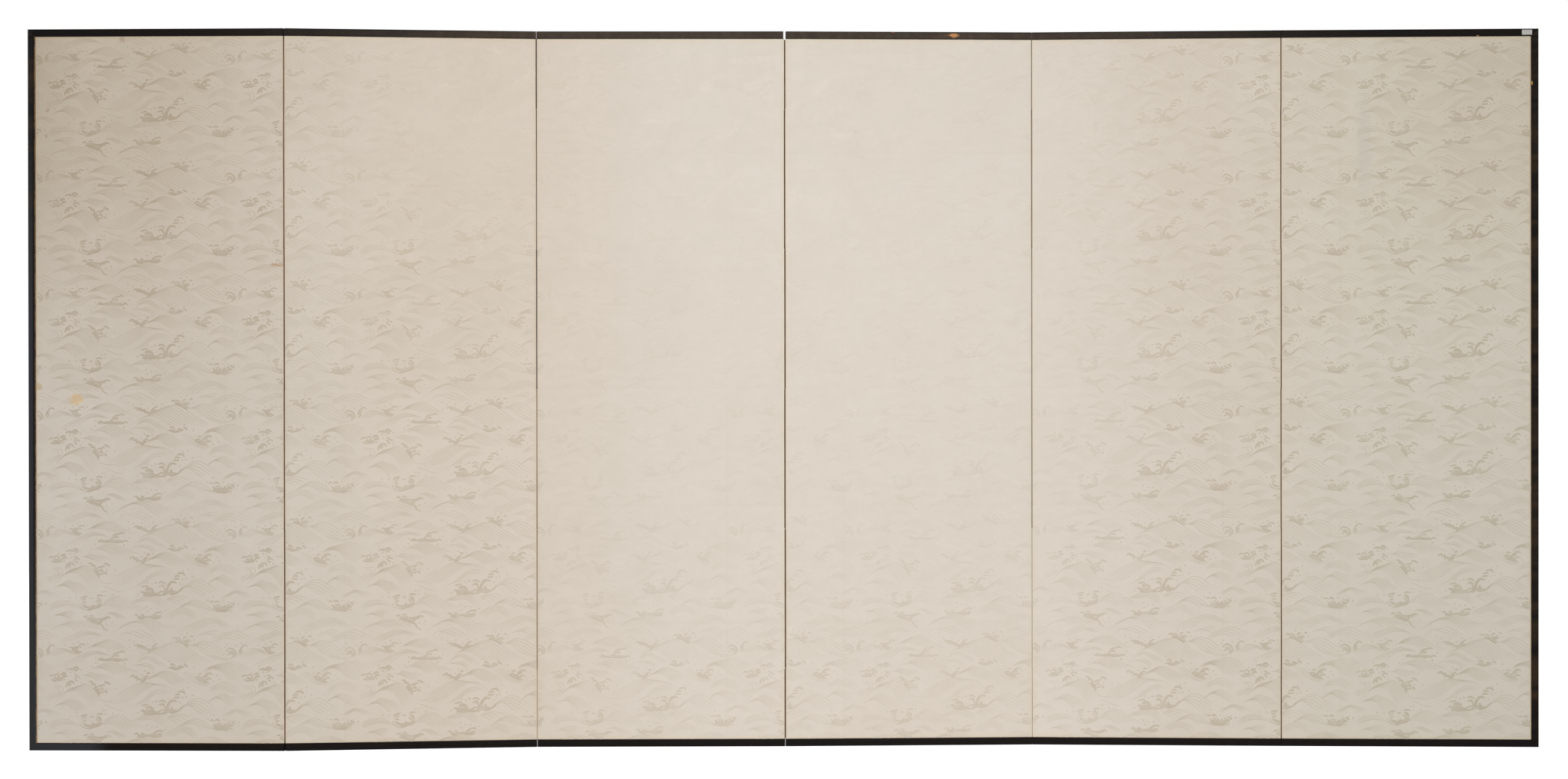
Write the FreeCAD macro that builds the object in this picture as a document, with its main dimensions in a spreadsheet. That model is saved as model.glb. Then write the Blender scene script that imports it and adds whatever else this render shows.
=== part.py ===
import FreeCAD, Part
import math
import os
import Sketcher

# Six-panel byobu folding screen, standing nearly flat with its printed back towards -Y.
# Each panel is drawn in its own frame: x runs from its left fold plane to its right one,
# y from the back to the painted front through the middle of the core, and z up from the floor.
# The panels are then set out in plan, folded one against the next, about the middle of the floor.

# Driving dimensions in millimetres, and turns and folds in degrees.
SIZES = {
    "panel_pitch": 596.4,
    "screen_height": 1720.0,
    "core_depth": 16.0,
    "stile_width": 21.0,
    "bar_width": 12.0,
    "undercoat": 0.8,
    "paper": 0.5,
    "hinge_gap": 2.2,
    "hinge_flange": 15.0,
    "strip_gap": 0.6,
    "fold_play": 0.1,
    "rail_face": 18.0,
    "rail_proud": 0.3,
    "rail_round": 3.0,
    "rail_bevel": 0.6,
    "rail_gap": 0.7,
    "worn_rail_gap": 5.0,
    "peg_radius": 2.0,
    "peg_length": 22.0,
    "peg_play": 0.1,
    "border_width": 74.0,
    "border_cloth": 0.4,
    "label_width": 24.0,
    "label_height": 12.0,
    "label_card": 0.2,
    "label_from_end": 16.0,
    "closed_play": 0.25,
    "first_turn": -1.1,
    "fold_1": 6.6,
    "fold_2": 4.9,
    "fold_3": 1.6,
    "fold_4": 4.7,
    "fold_5": 0.6,
}

PANEL_COUNT = 6
BAR_COLUMNS = 4
BAR_ROWS = 11
PEGS_ALONG_PANEL = 4
PEGS_UP_END = 8
# Each fold has six hinge papers: their ends as shares of the core's height, from the bottom.
STRIP_END_SHARES = (0.0, 0.1, 0.3, 0.5, 0.7, 0.9, 1.0)
# The fold whose top rails have worn short, which leaves daylight between them.
WORN_FOLD = 3
SQUARE_TURN = 90.0
# Points closer than this, in millimetres, count as one.
SAME_PLACE = 0.001

# Faces that several pieces share, as expressions of the sheet's cells.
CORE_LEFT = "(Sizes.hinge_gap / 2 + Sizes.undercoat)"
CORE_RIGHT = "(Sizes.panel_pitch - Sizes.hinge_gap / 2 - Sizes.undercoat)"
CORE_WIDTH = f"({CORE_RIGHT} - {CORE_LEFT})"
CORE_BOTTOM = "Sizes.rail_face"
CORE_TOP = "(Sizes.screen_height - Sizes.rail_face)"
CORE_HEIGHT = f"({CORE_TOP} - {CORE_BOTTOM})"
CORE_FRONT = "(Sizes.core_depth / 2)"
UNDERCOAT_FRONT = "(Sizes.core_depth / 2 + Sizes.undercoat)"
PAPER_FRONT = "(Sizes.core_depth / 2 + Sizes.undercoat + Sizes.paper)"
BORDER_FRONT = "(Sizes.core_depth / 2 + Sizes.undercoat + Sizes.paper + Sizes.border_cloth)"
RAIL_FRONT = f"({BORDER_FRONT} + Sizes.rail_proud)"

doc = FreeCAD.newDocument("folding_screen")
sheet = doc.addObject("Spreadsheet::Sheet", "Sizes")
for row, (alias, value) in enumerate(SIZES.items(), start=1):
    sheet.set(f"A{row}", alias)
    sheet.set(f"B{row}", str(value))
    sheet.setAlias(f"B{row}", alias)
doc.recompute()


def number(expression):
    """Work out an expression of the sheet's cells as a number."""
    return float(sheet.evalExpression(expression))


def block(name, x_span, y_span, z_span):
    """A rectangular piece between two faces on each axis, each face an expression."""
    box = doc.addObject("Part::Box", name)
    sides = ("Length", "Width", "Height")
    for axis, side, (low, high) in zip("xyz", sides, (x_span, y_span, z_span)):
        box.setExpression(f"Placement.Base.{axis}", low)
        box.setExpression(side, f"({high}) - ({low})")
    return box


def group(name, pieces):
    """Several separate solids kept together as one piece of the document."""
    compound = doc.addObject("Part::Compound", name)
    compound.Links = pieces
    return compound


def cut(name, base, tool):
    """The base piece with the tool's volume taken out."""
    result = doc.addObject("Part::Cut", name)
    result.Base = base
    result.Tool = tool
    return result


def middle_of(step, count):
    """Expression for the centre of one of count equal bays across the core."""
    return f"({CORE_LEFT} + {CORE_WIDTH} * {2 * step - 1} / {2 * count})"


def lattice():
    """The cedar bars inside every panel, half-lapped where they cross."""
    inner_left = f"{CORE_LEFT} + Sizes.stile_width"
    inner_right = f"{CORE_RIGHT} - Sizes.stile_width"
    inner_bottom = f"{CORE_BOTTOM} + Sizes.stile_width"
    inner_top = f"{CORE_TOP} - Sizes.stile_width"
    full_depth = (f"-{CORE_FRONT}", CORE_FRONT)
    uprights = []
    for column in range(1, BAR_COLUMNS + 1):
        centre = f"({CORE_LEFT} + {CORE_WIDTH} * {column} / {BAR_COLUMNS + 1})"
        x_span = (f"{centre} - Sizes.bar_width / 2", f"{centre} + Sizes.bar_width / 2")
        uprights.append(block(f"upright_{column}", x_span, full_depth, (inner_bottom, inner_top)))
    rows = []
    laps = []
    for row in range(1, BAR_ROWS + 1):
        centre = f"({CORE_BOTTOM} + {CORE_HEIGHT} * {row} / {BAR_ROWS + 1})"
        z_span = (f"{centre} - Sizes.bar_width / 2", f"{centre} + Sizes.bar_width / 2")
        rows.append(block(f"row_{row}", (inner_left, inner_right), full_depth, z_span))
        laps.append(block(f"lap_{row}", (inner_left, inner_right), ("0", CORE_FRONT), z_span))
    lapped_uprights = cut("lapped_uprights", group("uprights", uprights), group("laps", laps))
    lapped_rows = cut("lapped_rows", group("rows", rows), lapped_uprights)
    return [lapped_uprights, lapped_rows]


def peg(name, x_middle, z_middle, along_x, play):
    """A bamboo peg that holds a rail to the core or, with play, the wider hole that it sits in."""
    pin = doc.addObject("Part::Cylinder", name)
    reach = f"(Sizes.peg_length / 2 + {play})"
    pin.setExpression("Radius", f"Sizes.peg_radius + {play}")
    pin.setExpression("Height", f"2 * {reach}")
    if along_x:
        pin.Placement.Rotation = FreeCAD.Rotation(FreeCAD.Vector(0, 1, 0), SQUARE_TURN)
        x_middle = f"{x_middle} - {reach}"
    else:
        z_middle = f"{z_middle} - {reach}"
    pin.setExpression("Placement.Base.x", x_middle)
    pin.setExpression("Placement.Base.z", z_middle)
    return pin


def pegs(name, end_rail_at, play):
    """Pegs of the top and bottom rails, and of the upright rail on an end panel."""
    pins = []
    for step in range(1, PEGS_ALONG_PANEL + 1):
        across = middle_of(step, PEGS_ALONG_PANEL)
        pins.append(peg(f"{name}_low_{step}", across, CORE_BOTTOM, False, play))
        pins.append(peg(f"{name}_high_{step}", across, CORE_TOP, False, play))
    if end_rail_at:
        for step in range(1, PEGS_UP_END + 1):
            height = f"({CORE_BOTTOM} + {CORE_HEIGHT} * {2 * step - 1} / {2 * PEGS_UP_END})"
            pins.append(peg(f"{name}_end_{step}", end_rail_at, height, True, play))
    return group(name, pins)


def core_frame(name, holes):
    """Stiles and cross members round the lattice, drilled for the pegs."""
    depth = (f"-{CORE_FRONT}", CORE_FRONT)
    between = (f"{CORE_LEFT} + Sizes.stile_width", f"{CORE_RIGHT} - Sizes.stile_width")
    members = [
        block(f"{name}_left", (CORE_LEFT, between[0]), depth, (CORE_BOTTOM, CORE_TOP)),
        block(f"{name}_right", (between[1], CORE_RIGHT), depth, (CORE_BOTTOM, CORE_TOP)),
        block(f"{name}_foot", between, depth, (CORE_BOTTOM, f"{CORE_BOTTOM} + Sizes.stile_width")),
        block(f"{name}_head", between, depth, (f"{CORE_TOP} - Sizes.stile_width", CORE_TOP)),
    ]
    return cut(name, group(f"{name}_members", members), holes)


def strip_heights():
    """The span of each hinge paper up a fold, a little apart from the next."""
    spans = []
    for low, high in zip(STRIP_END_SHARES[:-1], STRIP_END_SHARES[1:]):
        spans.append((f"{CORE_BOTTOM} + {CORE_HEIGHT} * {low} + Sizes.strip_gap / 2",
                      f"{CORE_BOTTOM} + {CORE_HEIGHT} * {high} - Sizes.strip_gap / 2"))
    return spans


def layer(side):
    """Where the undercoat and the hinge papers lie on the front (1) or the back (-1)."""
    if side > 0:
        return (CORE_FRONT, UNDERCOAT_FRONT)
    return (f"-{UNDERCOAT_FRONT}", f"-{CORE_FRONT}")


def hinge_half(name, panel, on_left, z_span, fold_side, carried):
    """One panel's part of a hinge paper, up to the fold line.

    A hinge paper runs from one panel's front to its neighbour's back through the gap between them.
    The panel that carries it has it on the face away from the fold line and along the edge, and
    the other panel has it only on the face that the fold line is on.
    """
    if on_left:
        inner, edge = f"{CORE_LEFT} + Sizes.hinge_flange", CORE_LEFT
        outside, tip = f"{CORE_LEFT} - Sizes.undercoat", "Sizes.fold_play"
    else:
        inner, edge = f"{CORE_RIGHT} - Sizes.hinge_flange", CORE_RIGHT
        outside, tip = f"{CORE_RIGHT} + Sizes.undercoat", "Sizes.panel_pitch - Sizes.fold_play"

    def sheet_of(piece, start, end, depth):
        x_span = (end, start) if on_left else (start, end)
        return block(f"{name}_{piece}_{panel}", x_span, depth, z_span)

    if not carried:
        return sheet_of("far", inner, tip, layer(fold_side))
    strip = doc.addObject("Part::MultiFuse", f"{name}_near_{panel}")
    strip.Shapes = [
        sheet_of("flange", inner, outside, layer(-fold_side)),
        sheet_of("edge", edge, outside, (f"-{UNDERCOAT_FRONT}", UNDERCOAT_FRONT)),
        sheet_of("lip", edge, tip, layer(fold_side)),
    ]
    strip.Refine = True
    return strip


def fold_side_of(fold):
    """Odd folds close the painted fronts together (1), even folds the backs (-1)."""
    return 1 if fold % 2 else -1


def hinge_papers(panel):
    """Every hinge paper half on one panel's two edges, as separate solids."""
    halves = []
    for fold in (panel - 1, panel):
        if not 0 < fold < PANEL_COUNT:
            continue
        on_left = fold == panel - 1
        for order, z_span in enumerate(strip_heights()):
            # Papers alternate: even ones start on the left panel's front, odd ones on its back.
            starts_in_front = order % 2 == 0
            carried_on_right = starts_in_front == (fold_side_of(fold) > 0)
            carried = carried_on_right == on_left
            name = f"strip_{fold}_{order}"
            halves.append(hinge_half(name, panel, on_left, z_span, fold_side_of(fold), carried))
    return group(f"hinge_papers_{panel}", halves)


def undercoat(panel):
    """Pasted undercoat papers on both faces of the core, level with the hinge papers beside them."""
    left = CORE_LEFT if panel == 1 else f"{CORE_LEFT} + Sizes.hinge_flange"
    right = CORE_RIGHT if panel == PANEL_COUNT else f"{CORE_RIGHT} - Sizes.hinge_flange"
    sheets = []
    height = (CORE_BOTTOM, CORE_TOP)
    for name, side in (("front", 1), ("back", -1)):
        sheets.append(block(f"undercoat_{name}_{panel}", (left, right), layer(side), height))
    return group(f"undercoat_{panel}", sheets)


def border(panel):
    """Cloth strips along the top and bottom of the front, and up the screen's two ends."""
    depth = (PAPER_FRONT, BORDER_FRONT)
    foot_top = f"{CORE_BOTTOM} + Sizes.border_width"
    head_bottom = f"{CORE_TOP} - Sizes.border_width"
    strips = [
        block(f"border_foot_{panel}", (CORE_LEFT, CORE_RIGHT), depth, (CORE_BOTTOM, foot_top)),
        block(f"border_head_{panel}", (CORE_LEFT, CORE_RIGHT), depth, (head_bottom, CORE_TOP)),
    ]
    if panel == 1:
        x_span = (CORE_LEFT, f"{CORE_LEFT} + Sizes.border_width")
        strips.append(block("border_left_end", x_span, depth, (foot_top, head_bottom)))
    if panel == PANEL_COUNT:
        x_span = (f"{CORE_RIGHT} - Sizes.border_width", CORE_RIGHT)
        strips.append(block("border_right_end", x_span, depth, (foot_top, head_bottom)))
    return group(f"border_{panel}", strips)


def rail(name, outline, outer_side, inner_side):
    """A lacquered rail, padded from its outline seen from the back and eased along its edges.

    The outline is four corners, each an x and a z expression. Each side is an axis and the
    expression of a long face across it: the outer face is rounded and the inner one bevelled.
    """
    body = doc.addObject("PartDesign::Body", name)
    plane = next(item for item in body.Origin.OriginFeatures if item.Role == "XZ_Plane")
    sketch = body.newObject("Sketcher::SketchObject", f"{name}_outline")
    sketch.AttachmentSupport = [(plane, "")]
    sketch.MapMode = "FlatFace"
    sketch.setExpression("AttachmentOffset.Base.z", f"-{RAIL_FRONT}")
    corners = [FreeCAD.Vector(number(x), number(z), 0) for x, z in outline]
    count = len(corners)
    for index in range(count):
        sketch.addGeometry(Part.LineSegment(corners[index], corners[(index + 1) % count]), False)
    for index in range(count):
        sketch.addConstraint(Sketcher.Constraint("Coincident", index, 2, (index + 1) % count, 1))
    for index, (x, z) in enumerate(outline):
        for kind, place, axis in (("DistanceX", x, "x"), ("DistanceY", z, "z")):
            constraint = Sketcher.Constraint(kind, -1, 1, index, 1, number(place))
            sketch.renameConstraint(sketch.addConstraint(constraint), f"{axis}_{index}")
            sketch.setExpression(f"Constraints.{axis}_{index}", place)
    pad = body.newObject("PartDesign::Pad", f"{name}_pad")
    pad.Profile = sketch
    pad.setExpression("Length", f"2 * {RAIL_FRONT}")
    doc.recompute()
    rounding = body.newObject("PartDesign::Fillet", f"{name}_round")
    rounding.Base = (pad, long_edges(pad.Shape, outer_side))
    rounding.setExpression("Radius", "Sizes.rail_round")
    doc.recompute()
    bevel = body.newObject("PartDesign::Chamfer", f"{name}_bevel")
    bevel.Base = (rounding, long_edges(rounding.Shape, inner_side))
    bevel.setExpression("Size", "Sizes.rail_bevel")
    return body


def long_edges(shape, side):
    """Names of the edges that run along the rail in one of its long faces."""
    axis, place = side
    level = number(place)
    names = []
    for index, edge in enumerate(shape.Edges, start=1):
        ends = [vertex.Point for vertex in edge.Vertexes]
        in_face = all(math.isclose(getattr(end, axis), level, abs_tol=SAME_PLACE) for end in ends)
        run = ends[-1] - ends[0]
        if in_face and abs(run.y) < SAME_PLACE:
            names.append(f"Edge{index}")
    return names


def rail_end(panel, on_left, at_top):
    """Where a panel's top or bottom rail stops beside a fold."""
    fold = panel - 1 if on_left else panel
    gap = "Sizes.worn_rail_gap" if at_top and fold == WORN_FOLD else "Sizes.rail_gap"
    return f"{gap} / 2" if on_left else f"Sizes.panel_pitch - {gap} / 2"


def level_rail(panel, at_top):
    """Top or bottom rail, mitred into the end rail on the first and last panels."""
    inner, outer = (CORE_TOP, "Sizes.screen_height") if at_top else (CORE_BOTTOM, "0")
    inner_left = CORE_LEFT if panel == 1 else rail_end(panel, True, at_top)
    outer_left = f"{CORE_LEFT} - Sizes.rail_face" if panel == 1 else inner_left
    inner_right = CORE_RIGHT if panel == PANEL_COUNT else rail_end(panel, False, at_top)
    outer_right = f"{CORE_RIGHT} + Sizes.rail_face" if panel == PANEL_COUNT else inner_right
    outline = [(inner_left, inner), (inner_right, inner), (outer_right, outer), (outer_left, outer)]
    name = f"{'top' if at_top else 'bottom'}_rail_{panel}"
    return rail(name, outline, ("z", outer), ("z", inner))


def end_rail(on_left):
    """Upright rail at one end of the screen, mitred at both corners."""
    inner = CORE_LEFT if on_left else CORE_RIGHT
    outer = f"{inner} - Sizes.rail_face" if on_left else f"{inner} + Sizes.rail_face"
    outline = [(inner, CORE_BOTTOM), (inner, CORE_TOP), (outer, "Sizes.screen_height"), (outer, "0")]
    name = "left_end" if on_left else "right_end"
    return rail(name, outline, ("x", outer), ("x", inner))


def label():
    """A small blank card stuck on the back of the last panel's top rail."""
    right = f"{CORE_RIGHT} + Sizes.rail_face - Sizes.label_from_end"
    middle = "(Sizes.screen_height - Sizes.rail_face / 2)"
    return block(
        "label_card",
        (f"{right} - Sizes.label_width", right),
        (f"-{RAIL_FRONT} - Sizes.label_card", f"-{RAIL_FRONT}"),
        (f"{middle} - Sizes.label_height / 2", f"{middle} + Sizes.label_height / 2"),
    )


def turned(point, degrees):
    """A plan point turned about the origin, counter-clockwise."""
    return FreeCAD.Rotation(FreeCAD.Vector(0, 0, 1), degrees).multVec(point)


def fold_line(fold, x_local):
    """A fold line in a panel's own frame, just outside the rails' face on the side that closes."""
    offset = number(f"{RAIL_FRONT} + Sizes.closed_play")
    return FreeCAD.Vector(x_local, fold_side_of(fold) * offset, 0)


def plan():
    """Each panel's placement, with the whole screen's box centred on the origin."""
    pitch = number("Sizes.panel_pitch")
    turns = [number("Sizes.first_turn")]
    origins = [FreeCAD.Vector(0, 0, 0)]
    for fold in range(1, PANEL_COUNT):
        turn = turns[-1] + fold_side_of(fold) * number(f"Sizes.fold_{fold}")
        hinge = origins[-1] + turned(fold_line(fold, pitch), turns[-1])
        origins.append(hinge - turned(fold_line(fold, 0), turn))
        turns.append(turn)
    corners = []
    for panel, (origin, turn) in enumerate(zip(origins, turns), start=1):
        left = number(f"{CORE_LEFT} - Sizes.rail_face") if panel == 1 else 0
        right = number(f"{CORE_RIGHT} + Sizes.rail_face") if panel == PANEL_COUNT else pitch
        for x in (left, right):
            for y in (number(f"-{RAIL_FRONT}"), number(RAIL_FRONT)):
                corners.append(origin + turned(FreeCAD.Vector(x, y, 0), turn))
    xs = [corner.x for corner in corners]
    ys = [corner.y for corner in corners]
    centre = FreeCAD.Vector((min(xs) + max(xs)) / 2, (min(ys) + max(ys)) / 2, 0)
    up = FreeCAD.Vector(0, 0, 1)
    return [FreeCAD.Placement(origin - centre, FreeCAD.Rotation(up, turn))
            for origin, turn in zip(origins, turns)]


def place(node, pieces, placement):
    """Set the pieces of one named part out where its panel stands."""
    part = group(node, pieces)
    part.Label = node
    part.Placement = placement
    return part


def build_panel(panel, placement, bars):
    """Every named part of one panel, placed."""
    end_rail_at = {1: CORE_LEFT, PANEL_COUNT: CORE_RIGHT}.get(panel)
    holes = pegs(f"hole_{panel}", end_rail_at, "Sizes.peg_play")
    faces = (CORE_LEFT, CORE_RIGHT)
    height = (CORE_BOTTOM, CORE_TOP)
    back = (f"-{PAPER_FRONT}", f"-{UNDERCOAT_FRONT}")
    front = (UNDERCOAT_FRONT, PAPER_FRONT)
    pieces = {
        "core": [core_frame(f"core_frame_{panel}", holes)] + bars,
        "undercoat": [undercoat(panel)],
        "back_paper": [block(f"back_sheet_{panel}", faces, back, height)],
        "front_ground": [block(f"front_sheet_{panel}", faces, front, height)],
        "border": [border(panel)],
        "hinge_papers": [hinge_papers(panel)],
        "top_rail": [cut(f"drilled_top_{panel}", level_rail(panel, True), holes)],
        "bottom_rail": [cut(f"drilled_bottom_{panel}", level_rail(panel, False), holes)],
        "rail_pegs": [pegs(f"peg_{panel}", end_rail_at, "0")],
    }
    parts = [place(f"panel_{panel}_{name}", solids, placement) for name, solids in pieces.items()]
    if panel == 1:
        parts.append(place("left_end_rail", [cut("drilled_left", end_rail(True), holes)], placement))
    if panel == PANEL_COUNT:
        parts.append(place("right_end_rail", [cut("drilled_right", end_rail(False), holes)], placement))
        parts.append(place("blank_label", [label()], placement))
    return parts


def check(parts):
    """Stop if anything failed to compute or came out empty or broken."""
    for item in doc.Objects:
        if any(word in state for state in item.State for word in ("Invalid", "Error")):
            raise RuntimeError(f"{item.Name} did not compute: {item.State}")
    for part in parts:
        if part.Shape.isNull() or not part.Shape.isValid() or not part.Shape.Solids:
            raise RuntimeError(f"{part.Label} has no sound shape")


def build():
    """Make the whole screen and write each named part to its own file."""
    bars = lattice()
    parts = []
    for panel, placement in enumerate(plan(), start=1):
        parts += build_panel(panel, placement, bars)
    doc.recompute()
    check(parts)
    os.makedirs("parts", exist_ok=True)
    for part in parts:
        part.Shape.exportStep(f"parts/{part.Label}.step")
        print(part.Label, len(part.Shape.Solids), "solids", round(part.Shape.Volume), "mm3")


build()
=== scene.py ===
"""Byobu folding screen: the looks of a six-panel Japanese screen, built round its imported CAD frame.

The frame gives every panel its place. This add-on dresses it: block-printed wave papers on the back,
gold leaf and brocade on the front, paper hinges in the folds, black lacquer on the rails, and bare
cedar, bamboo and undercoat papers inside.
"""

import math

import bpy
import numpy as np
from bpy.props import FloatProperty, FloatVectorProperty, PointerProperty
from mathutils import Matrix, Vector


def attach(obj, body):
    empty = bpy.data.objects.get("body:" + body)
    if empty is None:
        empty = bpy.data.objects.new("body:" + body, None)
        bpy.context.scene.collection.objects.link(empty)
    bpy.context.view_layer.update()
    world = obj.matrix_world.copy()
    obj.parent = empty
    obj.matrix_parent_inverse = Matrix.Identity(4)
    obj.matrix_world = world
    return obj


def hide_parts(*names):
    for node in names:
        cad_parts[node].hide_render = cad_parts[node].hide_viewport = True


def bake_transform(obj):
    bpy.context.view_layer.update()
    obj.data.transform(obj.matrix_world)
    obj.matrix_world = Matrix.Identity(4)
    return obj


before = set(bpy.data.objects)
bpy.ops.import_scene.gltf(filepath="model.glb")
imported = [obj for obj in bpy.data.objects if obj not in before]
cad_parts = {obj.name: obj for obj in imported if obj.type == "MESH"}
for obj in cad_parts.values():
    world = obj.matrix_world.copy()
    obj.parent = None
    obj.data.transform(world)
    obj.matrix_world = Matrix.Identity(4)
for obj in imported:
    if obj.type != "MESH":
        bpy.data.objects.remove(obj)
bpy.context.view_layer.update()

bl_info = {
    "name": "Byobu folding screen",
    "version": (1, 0, 0),
    "blender": (4, 5, 0),
    "location": "View3D > Sidebar > Byobu",
    "description": "Dresses the CAD frame of a six-panel folding screen with papers, leaf, cloth and lacquer",
    "category": "Object",
}

MM = 0.001                                  # one millimetre in metres
PANELS = (1, 2, 3, 4, 5, 6)                 # from the left of the back view
FOLDS = (1, 2, 3, 4, 5)                     # fold f joins panel f to panel f + 1
PITCH = 596.4                               # fold line to fold line, mm
PAPER_LEFT, PAPER_RIGHT = 1.9, 594.5        # the CAD papers' sides in a panel's own frame, mm
PAPER_FOOT, PAPER_HEAD = 18.0, 1702.0       # the CAD papers' bottom and top, mm
PAPER_FACE = 9.3                            # the papers' outer faces from the panel's middle plane, mm
CLOTH_FACE = 9.7                            # the border cloth's outer face, mm
BORDER = 74.0                               # width of the brocade border, mm
STRIP_SHARES = (0.0, 0.1, 0.3, 0.5, 0.7, 0.9, 1.0)   # where one hinge strip ends and the next starts
STRIP_GAP = 0.6                             # between two hinge strips, mm
PAPER_INSET = 0.15                          # the scene's papers end this far inside the CAD ones, mm
ROLL_START = 7.4                            # where a rolled edge starts, from the middle plane, mm
COCKLE_WAVES, COCKLE_SUM = 6, 3.2           # sine waves in a cockle, and what divides their sum
COCKLE_STILL, COCKLE_FADE = 2.0, 30.0       # still rim of a pasted paper and how far the cockle fades, mm
END_SIDE, END_FACE = 2.0, 2.3               # the papers' side and first face row under an end rail, mm
END_CLOTH = 2.1                             # the border cloth's side under an end rail, mm
CLOTH_INSET = 0.2                           # the border cloth inside the papers' foot and head, mm
CLOTH_DROP = (0.0, 0.25, 0.6)               # where the cloth's turned rim has its points, mm
CLOTH_STEP = 14.0                           # spacing of the cloth's mesh rows, mm
CLOTH_SWELL, CLOTH_SUNK = 0.10, 0.02        # the most the cloth's cockle rises, and how deep it is pasted, mm
EDGE_COVER, EDGE_UNDER = 0.45, 0.1          # an edge strip beside the face paper's edge and under it, mm
EDGE_WALL = 0.3                             # thickness of the hinge strips on the panels' edges, mm
EDGE_FLANGE = 6.0                           # where the edge strips end on the panels' faces, mm
EDGE_TURN = 0.5                             # radius of the edge strips' rounds, mm
HINGE_WALL = 0.12                           # thickness of the hinge strips' bare middles, mm
HINGE_MIDDLE = 860.0                        # half the screen's height, where each fold's start and end points are taken, mm
SENSOR = 36.0                               # width of the camera's sensor, mm
FLOOR_RADIUS, FLOOR_RINGS, FLOOR_POINTS = 60.0, 25, 97   # in metres, and the floor's rings and their points
FLOOR_TOP = -0.0005                         # the floor lies a little under the rails, in metres

# Softboxes: where each stands, the point that it is aimed at, and its width and height, in metres.
KEY_BOX = ((0.2, -5.5, 2.2), (0.0, 0.0, 0.92), (1.9, 1.1))
LOW_BOX = ((0.2, -5.9, 0.5), (0.0, 0.0, 0.8), (2.2, 0.7))
FRONT_BOX = ((-0.6, 5.5, 2.4), (0.0, 0.0, 0.8), (3.0, 2.2))

# The block-printed wave pattern, a traditional one. One repeat of the block is 460 mm wide and
# 282.5 mm high. All points are in mm from the block's lower left corner.
INK_SUNK = 0.012                            # how far each mark's rim lies inside the paper, mm
BLOCK_WIDTH, BLOCK_HEIGHT = 460.0, 282.5
BLOCK_STRETCH = 1.005                       # damp paper grew sideways by this factor after printing
BLOCK_START = 2.6                           # first block's left side from the paper's left side, mm
BLOCK_RISE = 12.0                           # lowest block's foot above the paper's bottom edge, mm
SHEET_CORNER = (-12.0, 266.0)               # where the printed sheets' joints lie in the block's repeat, mm
BLOCK_SHIFT = 146.0                         # sideways shift of the pattern on every second panel, mm
PRINT_INSET = 0.4                           # the print inside the CAD papers' foot and head, mm
SWELL_POINTS, MARK_POINTS = 17, 9           # points along each swell line and each other mark
SWELL_ENDS, FOAM_ENDS, WASH_ENDS = 0.2, 0.45, 0.7    # width of the marks' ends, as a share of the middle's
TAPER = 0.22                                # share of a mark's length over which it widens
WASH_RISE = 0.6                             # the thin washes' height, as a share of the ink's
WASH_FULLNESS = 1.3                         # the thin washes' widths, as a share of their listed widths
INKS = ("mica ink", "foam ink", "thin foam ink")      # of the swell lines, the foam, and its thin washes
INK_ROUGHNESS, INK_METALLIC = 0.45, 0.06    # how the mica inks shine

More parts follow.
